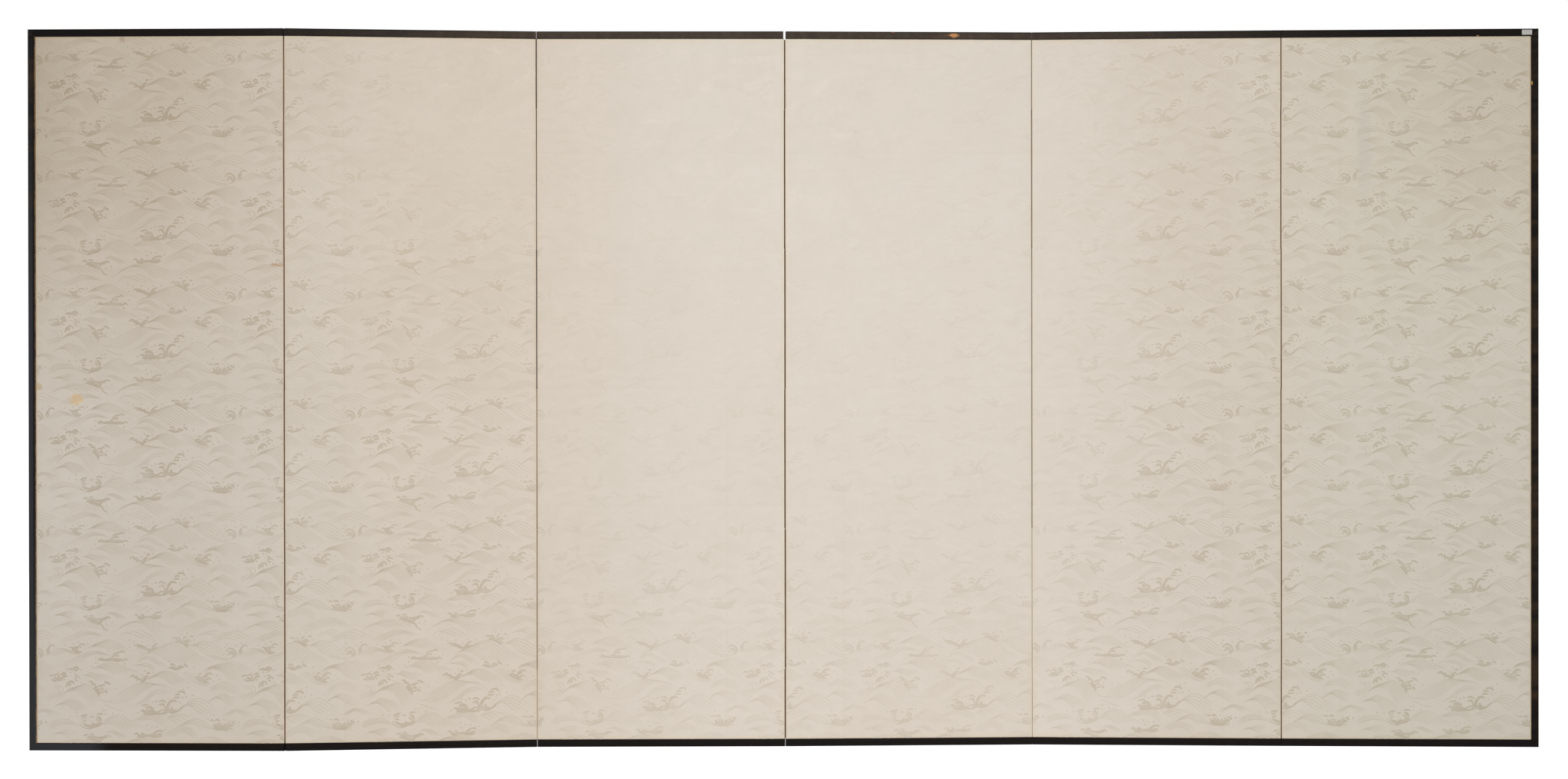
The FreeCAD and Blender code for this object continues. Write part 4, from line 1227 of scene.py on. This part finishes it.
def back_paper_finish():
    """Clean paper, multiplied by its fibres and by its age and painted shade, yellowed towards the rim,
    stained in places, brown along the handled side edges, and darkened in a thin painted shade line beside
    the rails."""
    c = colours()
    finish, tree, surface = new_finish("printed back paper", {"Roughness": 0.9, "Specular IOR Level": 0.3})
    place = place_of(tree)
    flat = flat_map_of(tree, "OFBake")
    rim = group_part(tree, "margins", {"Map": flat})
    fibres = group_part(tree, "paper fibres", {"Place": place})
    drift = times(tree, minus(tree, noise(tree, place, 16.0, 4.0, 0.65), 0.5), 14.0)
    sheets = group_part(tree, "sheet joints", {"Map": flat_map_of(tree, "Sheets")})
    near_rim = spread(tree, plus(tree, rim["Rim"], drift), 1.0, 13.0, 0.65, 0.0)
    # The age tone carries painted shade too: darker towards the upper ends, lifted in the middle.
    colour = aged_and_shaded(tree, mix(tree, near_rim, c.paper, c.aged_paper), place)
    joint = plus(tree, times(tree, sheets["Line"], 0.25), times(tree, sheets["Doubled"], 0.15))
    colour = tinted(tree, plus(tree, joint, times(tree, sheets["Own"], 0.2)), colour, (0.93, 0.91, 0.88))
    for middle, half, stain, strength, inner in STAINS:
        mask = stain_mask(tree, place, middle, half, Inner=inner)
        colour = mix(tree, times(tree, mask, strength), colour, stain)
    handled = spread(tree, plus(tree, rim["Side"], times(tree, drift, 0.06)), 1.3, 2.5, 0.85, 0.0)
    colour = mix(tree, handled, colour, scaled(c.hinge, 0.5))
    # Painted shade: a dark brown line on the paper beside the top and bottom rails, which stand proud of it.
    colour = mix(tree, spread(tree, rim["Level"], 0.5, 1.8, 0.85, 0.0), colour, scaled(c.hinge, 0.25))
    tree.links.new(product(tree, colour, grey(tree, fibres["Shade"])), surface.inputs["Base Color"])
    tree.links.new(bump(tree, fibres["Height"], 0.25, 0.0002), surface.inputs["Normal"])


def ink_finish(name, ink):
    """Mica ink: the ink's colour, thinned in places to the paper's and lifted into it on the middle panels
    by a painted glare, multiplied by the paper's age and painted shade. It is smoother than the paper and
    very slightly metallic."""
    c = colours()
    finish, tree, surface = new_finish(name, {"Roughness": INK_ROUGHNESS, "Metallic": INK_METALLIC,
                                              "Specular IOR Level": 0.5})
    place = place_of(tree)
    thin = spread(tree, noise(tree, place, 26.0, 5.0, 0.7), 0.42, 0.72, 0.0, 0.45)
    # Painted glare: the print's colour is lifted to the paper's where the key light's sheen would wash it
    # out.
    faded = group_part(tree, "print glare", {"Place": place})["Painted glare"]
    colour = aged_and_shaded(tree, mix(tree, faded, mix(tree, thin, ink, c.paper), c.paper), place)
    fibres = group_part(tree, "paper fibres", {"Place": place})
    tree.links.new(colour, surface.inputs["Base Color"])
    tree.links.new(bump(tree, fibres["Height"], 0.3, 0.0002), surface.inputs["Normal"])


def plain_paper_finish(name, colour, other, specular=0.3):
    """Unprinted paper: two tones clouded together, with fibres."""
    finish, tree, surface = new_finish(name, {"Roughness": 0.88, "Specular IOR Level": specular})
    place = place_of(tree)
    fibres = group_part(tree, "paper fibres", {"Place": place})
    cloud = spread(tree, noise(tree, place, 11.0, 5.0, 0.65), 0.3, 0.7)
    tone = mix(tree, cloud, colour, other)
    tree.links.new(product(tree, tone, grey(tree, fibres["Shade"])), surface.inputs["Base Color"])
    tree.links.new(bump(tree, fibres["Height"], 0.3, 0.0002), surface.inputs["Normal"])
    return finish


def gold_finish(number):
    """Gold leaf in squares: each leaf a little lighter or redder, brighter where two overlap, rubbed
    through to warm bole in fine cracks and along the rims."""
    c = colours()
    finish, tree, surface = new_finish(f"gold leaf {number}", {"Specular IOR Level": 0.5})
    place = place_of(tree)
    flat = flat_map_of(tree, "OFBake")
    leaf = group_part(tree, "leaf squares", {"Map": flat, "Place": place, "Square": sizes().leaf_square,
                                             "Start": (7.0 * number, 3.0 * number, 0.0)})
    rim = group_part(tree, "margins", {"Map": flat})
    worn_gold = tuple(v * f for v, f in zip(c.gold, (0.94, 0.92, 0.93)))
    colour = mix(tree, leaf["Own"], c.gold, worn_gold)
    colour = mix(tree, times(tree, leaf["Overlap"], 0.4), colour, scaled(c.gold, 1.15))
    rub = noise(tree, place, 120.0, 5.0, 0.75)
    edge = spread(tree, rim["Side"], 2.0, 30.0, 0.10, 0.0)
    bare = spread(tree, plus(tree, rub, edge), 0.66, 0.72)
    colour = mix(tree, bare, colour, (0.33, 0.16, 0.07))
    tree.links.new(colour, surface.inputs["Base Color"])
    tree.links.new(spread(tree, bare, 0.0, 1.0, 0.85, 0.0), surface.inputs["Metallic"])
    rough = plus(tree, times(tree, rub, 0.9), times(tree, leaf["Own"], 0.1))
    tree.links.new(spread(tree, rough, 0.2, 0.8, 0.40, 0.54), surface.inputs["Roughness"])
    height = plus(tree, times(tree, leaf["Overlap"], 0.6),
                  times(tree, noise(tree, place, 260.0, 4.0, 0.6), 0.5))
    tree.links.new(bump(tree, height, 0.35, 0.00015), surface.inputs["Normal"])
    return finish


def brocade_finish():
    """Woven cloth: the lozenges over the ground, both faded in clouds, with dark threads between ridges."""
    c = colours()
    finish, tree, surface = new_finish("brocade", {"Roughness": 0.62, "Sheen Weight": 0.06,
                                                   "Sheen Roughness": 0.4, "Specular IOR Level": 0.2})
    cloth = group_part(tree, "weave", {"Map": flat_map_of(tree, "Weave")})
    place = place_of(tree)
    faded = spread(tree, noise(tree, place, 20.0, 5.0, 0.7), 0.35, 0.75, 0.0, 0.5)
    ground = mix(tree, faded, c.brocade, scaled(c.brocade, 1.9))
    figure = mix(tree, faded, c.brocade_figure, scaled(c.brocade_figure, 0.6))
    colour = mix(tree, cloth["Figure"], ground, figure)
    colour = mix(tree, times(tree, cloth["Ridges"], 0.35), colour, scaled(c.brocade, 0.4))
    tree.links.new(colour, surface.inputs["Base Color"])
    height = plus(tree, cloth["Ridges"], times(tree, cloth["Figure"], 0.6))
    tree.links.new(bump(tree, height, 0.5, 0.0002), surface.inputs["Normal"])
    return finish


def lacquer_finish(name, edge_of, worn, chips=()):
    """Black lacquer whose wear comes from `edge_of`, a function of the tree and the place's parts. Each
    chip is a small stain of bare red-brown under-layer: its middle and half size in metres."""
    c = colours()
    finish, tree, surface = new_finish(name, {"Specular IOR Level": 0.18})
    place = place_of(tree)
    edge = edge_of(tree, parts(tree, place))
    look = group_part(tree, "old lacquer", {"Place": place, "Edge": edge, "Lacquer": rgba(c.lacquer),
                                            "Worn": rgba(worn)})
    colour = look["Colour"]
    for middle, half, bare in chips:
        colour = mix(tree, stain_mask(tree, place, middle, half), colour, bare)
    tree.links.new(colour, surface.inputs["Base Color"])
    tree.links.new(look["Roughness"], surface.inputs["Roughness"])
    tree.links.new(bump(tree, look["Height"], 0.1, 0.0003), surface.inputs["Normal"])
    return finish


def level_edges(tree, place):
    """Wear on the level rails' inner edges beside the papers: all along the foot, and on the left part of
    the head."""
    head = spread(tree, place[2], 1.7023, 1.7042, 1.0, 0.0)
    head = times(tree, head, spread(tree, place[2], 1.6, 1.65))
    head = times(tree, head, spread(tree, place[0], -1.4, -0.9, 1.0, 0.0))
    foot = times(tree, spread(tree, place[2], 0.0160, 0.0176), spread(tree, place[2], 0.05, 0.10, 1.0, 0.0))
    return plus(tree, head, foot, clamp=True)


def end_edges(tree, place):
    """Wear on the left end rail alone: a thin line along its inner edge, beside the paper."""
    return times(tree, spread(tree, place[0], -1.7892, -1.7880), spread(tree, place[0], -1.0, -0.9, 1.0, 0.0))


def wood_finish(name, colour, stretch, rough):
    """Bare wood, darker and lighter along its grain."""
    finish, tree, surface = new_finish(name, {"Roughness": rough, "Specular IOR Level": 0.35})
    place = place_of(tree)
    grain = group_part(tree, "wood grain", {"Place": place, "Stretch": stretch})
    tree.links.new(mix(tree, grain["Shade"], scaled(colour, 0.62), scaled(colour, 1.15)),
                   surface.inputs["Base Color"])
    tree.links.new(bump(tree, grain["Height"], 0.3, 0.0004), surface.inputs["Normal"])
    return finish


# ------------------------------------------------------------------ operators

class BYOBU_OT_finishes(bpy.types.Operator):
    """Makes the shared shader groups and the papers', leaf's and cloth's finishes"""
    bl_idname = "byobu.finishes"
    bl_label = "Finishes"

    def execute(self, context):
        c = colours()
        make_shared_effects()
        back_paper_finish()
        for name, ink in zip(INKS, (c.ink, c.foam_ink, c.wash_ink)):
            ink_finish(name, ink)
        plain_paper_finish("edge paper", c.hinge, scaled(c.hinge, 1.4))
        for name, (tone, other) in FOLD_TONES.items():
            plain_paper_finish(name, tone, other)
        brocade_finish()
        return {"FINISHED"}


class BYOBU_OT_back_papers(bpy.types.Operator):
    """Pastes the six printed papers on the panels' backs"""
    bl_idname = "byobu.back_papers"
    bl_label = "Back papers"

    def execute(self, context):
        for number in PANELS:
            piece = face_paper(f"panel_{number}_printed_paper", number, -1,
                               bpy.data.materials["printed back paper"])
            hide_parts(f"panel_{number}_back_paper")
            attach(piece, f"panel_{number}")
        return {"FINISHED"}


class BYOBU_OT_wave_prints(bpy.types.Operator):
    """Prints the wave pattern in mica ink on the back papers"""
    bl_idname = "byobu.wave_prints"
    bl_label = "Wave prints"

    def execute(self, context):
        block = printing_block()
        for number in PANELS:
            piece = printed_panel(number, block)
            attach(piece, f"panel_{number}")
        return {"FINISHED"}


class BYOBU_OT_hinges(bpy.types.Operator):
    """Makes the paper hinges: their strips round the panels' edges and their bare middles in the folds"""
    bl_idname = "byobu.hinges"
    bl_label = "Paper hinges"

    def execute(self, context):
        papers = bpy.data.materials
        for number in PANELS:
            piece = edge_papers(number, papers["edge paper"])
            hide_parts(f"panel_{number}_hinge_papers")
            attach(piece, f"panel_{number}")
        for fold in FOLDS:
            kinds = [papers[name] for name in FOLD_PAPERS[fold]]
            piece, start, end = fold_hinge(fold, kinds)
            with_wall(piece)
            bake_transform(piece)
        return {"FINISHED"}


class BYOBU_OT_gold_grounds(bpy.types.Operator):
    """Lays gold leaf squares on the panels' fronts"""
    bl_idname = "byobu.gold_grounds"
    bl_label = "Gold grounds"

    def execute(self, context):
        for number in PANELS:
            piece = face_paper(f"panel_{number}_gold_leaf", number, 1, gold_finish(number))
            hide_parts(f"panel_{number}_front_ground")
            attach(piece, f"panel_{number}")
        return {"FINISHED"}


class BYOBU_OT_borders(bpy.types.Operator):
    """Pastes the brocade bands round the fronts' outer edge"""
    bl_idname = "byobu.borders"
    bl_label = "Brocade borders"

    def execute(self, context):
        for number in PANELS:
            piece = brocade_border(number, bpy.data.materials["brocade"])
            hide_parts(f"panel_{number}_border")
            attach(piece, f"panel_{number}")
        return {"FINISHED"}


class BYOBU_OT_lacquered_rails(bpy.types.Operator):
    """Lacquers the level rails and the two end rails of the frame"""
    bl_idname = "byobu.lacquered_rails"
    bl_label = "Lacquered rails"

    def execute(self, context):
        level = lacquer_finish("level rail lacquer", level_edges, colours().lacquer_worn, CHIPS)
        ends = lacquer_finish("end rail lacquer", end_edges, colours().lacquer_rubbed, CHIPS)
        for number in PANELS:
            finish_node(f"panel_{number}_top_rail", level)
            finish_node(f"panel_{number}_bottom_rail", level)
        finish_node("left_end_rail", ends)
        finish_node("right_end_rail", ends)
        return {"FINISHED"}


class BYOBU_OT_inner_parts(bpy.types.Operator):
    """Finishes the bare lattice cores, their undercoat papers and the bamboo pegs"""
    bl_idname = "byobu.inner_parts"
    bl_label = "Inner parts"

    def execute(self, context):
        c = colours()
        cedar = wood_finish("bare cedar", c.cedar, (90.0, 90.0, 9.0), 0.75)
        bamboo = wood_finish("bare bamboo", c.bamboo, (700.0, 700.0, 20.0), 0.55)
        undercoat = plain_paper_finish("undercoat paper", c.undercoat, scaled(c.undercoat, 0.8))
        for number in PANELS:
            finish_node(f"panel_{number}_core", cedar)
            finish_node(f"panel_{number}_rail_pegs", bamboo)
            finish_node(f"panel_{number}_undercoat", undercoat)
        return {"FINISHED"}


class BYOBU_OT_blank_label(bpy.types.Operator):
    """Finishes the small blank label on the last panel's top rail"""
    bl_idname = "byobu.blank_label"
    bl_label = "Blank label"

    def execute(self, context):
        c = colours()
        finish_node("blank_label", plain_paper_finish("label card", c.card, scaled(c.card, 0.86)))
        return {"FINISHED"}


class BYOBU_OT_stage(bpy.types.Operator):
    """Sets the pale floor, the soft studio lights and the camera of the photograph's view"""
    bl_idname = "byobu.stage"
    bl_label = "Stage"

    def execute(self, context):
        studio = context.scene.byobu_studio
        make_floor(studio.floor_glow)
        make_room(studio.room_light)
        softbox("key softbox", *KEY_BOX, studio.key_power)
        softbox("front softbox", *FRONT_BOX, studio.front_power)
        low = softbox("low softbox", *LOW_BOX, studio.low_power)
        low.visible_glossy = False
        lens = bpy.data.cameras.new("view")
        lens.sensor_width = SENSOR
        lens.lens = studio.lens
        lens.clip_start, lens.clip_end = 0.05, 200.0
        camera = bpy.data.objects.new("view", lens)
        camera.location = studio.camera_place
        tilt, lean, turn = studio.camera_turn
        camera.rotation_euler = (math.pi / 2 + tilt, lean, turn)
        context.scene.collection.objects.link(camera)
        context.scene.camera = camera
        context.scene.view_settings.view_transform = "Standard"
        return {"FINISHED"}


# The folds' papers: their two clouded tones.
FOLD_TONES = {
    "dark hinge paper": ((0.085, 0.065, 0.050), (0.13, 0.10, 0.08)),
    "red-brown hinge paper": ((0.17, 0.095, 0.060), (0.22, 0.13, 0.085)),
    "pale hinge paper": ((0.20, 0.15, 0.11), (0.16, 0.12, 0.09)),
}

# Which papers show in each fold, strip by strip from the foot.
FOLD_PAPERS = {
    1: ("red-brown hinge paper",),
    2: ("red-brown hinge paper", "red-brown hinge paper", "red-brown hinge paper", "dark hinge paper",
        "dark hinge paper", "dark hinge paper"),
    3: ("red-brown hinge paper",),
    4: ("pale hinge paper", "pale hinge paper", "dark hinge paper", "dark hinge paper", "pale hinge paper",
        "dark hinge paper"),
    5: ("red-brown hinge paper",),
}

# Half widths in mm of each fold's bare hinge strips, from the foot; one number where all are alike.
HINGE_HALVES = {1: (1.0,), 2: (0.5, 0.95, 1.0, 1.4, 1.1, 1.6), 3: (2.3,), 4: (0.3, 0.4, 0.95, 0.9, 1.3, 0.9),
                5: (2.0,)}

# Chips in the lacquer: middle (x, z) and half size (x, z) in metres, and the bared colour.
CHIPS = (
    ((0.399, 1.7125), (0.017, 0.004), (0.16, 0.070, 0.035)),
    ((0.4095, 1.7125), (0.013, 0.0065), (0.56, 0.26, 0.10)),
    ((1.7885, 1.590), (0.0022, 0.005), (0.42, 0.23, 0.06)),
    ((0.262, 1.7185), (0.004, 0.002), (0.33, 0.07, 0.04)),
    ((1.6595, 1.7030), (0.004, 0.002), (0.34, 0.19, 0.08)),
)


def with_wall(piece):
    """Applies a piece's thickness to its mesh."""
    graph = bpy.context.evaluated_depsgraph_get()
    solid = bpy.data.meshes.new_from_object(piece.evaluated_get(graph))
    piece.modifiers.clear()
    piece.data = solid


def full_to_camera(tree, strength):
    """1 for the camera's own rays and `strength` for all others."""
    path = tree.nodes.new("ShaderNodeLightPath")
    return put(tree, "ShaderNodeMapRange", {"Value": path.outputs["Is Camera Ray"], "To Min": strength,
                                            "To Max": 1.0})


def make_floor(glow):
    """A pale round floor: rings of points whose radius grows as the square of the ring's share."""
    turn = np.linspace(0, math.tau, FLOOR_POINTS)[None, :]
    ring = FLOOR_RADIUS * np.linspace(0.0, 1.0, FLOOR_RINGS)[:, None] ** 2
    x, y = ring * np.cos(turn), ring * np.sin(turn)
    points = np.stack((x, y, np.full_like(x, FLOOR_TOP)), axis=-1)
    finish, tree, surface = new_finish("pale floor", {"Roughness": 0.8, "Specular IOR Level": 0.1})
    tone = spread(tree, noise(tree, place_of(tree), 3.0, 4.0, 0.6), 0.2, 0.8, 0.90, 0.94)
    tree.links.new(grey(tree, tone), surface.inputs["Base Color"])
    surface.inputs["Emission Color"].default_value = (1.0, 1.0, 1.0, 1.0)
    tree.links.new(full_to_camera(tree, glow), surface.inputs["Emission Strength"])
    floor = new_piece("studio_floor", points.reshape(-1, 3), lattice(FLOOR_RINGS, FLOOR_POINTS), [finish])


def make_room(strength):
    """An even white room: its light on the screen is `strength`, and it is plain white to the camera."""
    room = bpy.data.worlds.new("white room")
    bpy.context.scene.world = room
    room.use_nodes = True
    tree = room.node_tree
    tree.nodes.clear()
    light = put(tree, "ShaderNodeBackground", {"Color": (1.0, 1.0, 1.0, 1.0),
                                               "Strength": full_to_camera(tree, strength)})
    out = tree.nodes.new("ShaderNodeOutputWorld")
    tree.links.new(light, out.inputs["Surface"])


def softbox(name, place, aim, size, power):
    """A soft rectangular studio light that faces the point it is aimed at."""
    lamp = bpy.data.lights.new(name, "AREA")
    lamp.shape = "RECTANGLE"
    lamp.size, lamp.size_y = size
    lamp.energy = power
    light = bpy.data.objects.new(name, lamp)
    light.location = place
    light.rotation_euler = (Vector(aim) - Vector(place)).to_track_quat("-Z", "Y").to_euler()
    bpy.context.scene.collection.objects.link(light)
    return light


# ------------------------------------------------------------------ the add-on

class BYOBU_PT_panel(bpy.types.Panel):
    """Lists the steps and sizes of the byobu folding screen"""
    bl_idname = "BYOBU_PT_panel"
    bl_label = "Byobu folding screen"
    bl_space_type = "VIEW_3D"
    bl_region_type = "UI"
    bl_category = "Byobu"

    def draw(self, context):
        steps = self.layout.column(align=True)
        for operator in OPERATORS:
            steps.operator(operator.bl_idname)
        for label, group in (("Sizes", context.scene.byobu_sizes), ("Colours", context.scene.byobu_colours),
                             ("Studio", context.scene.byobu_studio)):
            box = self.layout.box()
            box.label(text=label)
            for key in group.__annotations__:
                box.prop(group, key)


SETTINGS = (ByobuSizes, ByobuColours, ByobuStudio)
OPERATORS = (BYOBU_OT_finishes, BYOBU_OT_stage, BYOBU_OT_back_papers, BYOBU_OT_wave_prints, BYOBU_OT_hinges,
             BYOBU_OT_gold_grounds, BYOBU_OT_borders, BYOBU_OT_lacquered_rails, BYOBU_OT_inner_parts,
             BYOBU_OT_blank_label)


def register():
    for part in (*SETTINGS, *OPERATORS, BYOBU_PT_panel):
        bpy.utils.register_class(part)
    bpy.types.Scene.byobu_sizes = PointerProperty(type=ByobuSizes)
    bpy.types.Scene.byobu_colours = PointerProperty(type=ByobuColours)
    bpy.types.Scene.byobu_studio = PointerProperty(type=ByobuStudio)


def unregister():
    for key in ("byobu_studio", "byobu_colours", "byobu_sizes"):
        delattr(bpy.types.Scene, key)
    for part in (BYOBU_PT_panel, *reversed(OPERATORS), *reversed(SETTINGS)):
        bpy.utils.unregister_class(part)


def main():
    register()
    for operator in OPERATORS:
        step = operator.bl_idname.split(".")[1]
        getattr(bpy.ops.byobu, step)()


if __name__ == "__main__":
    main()
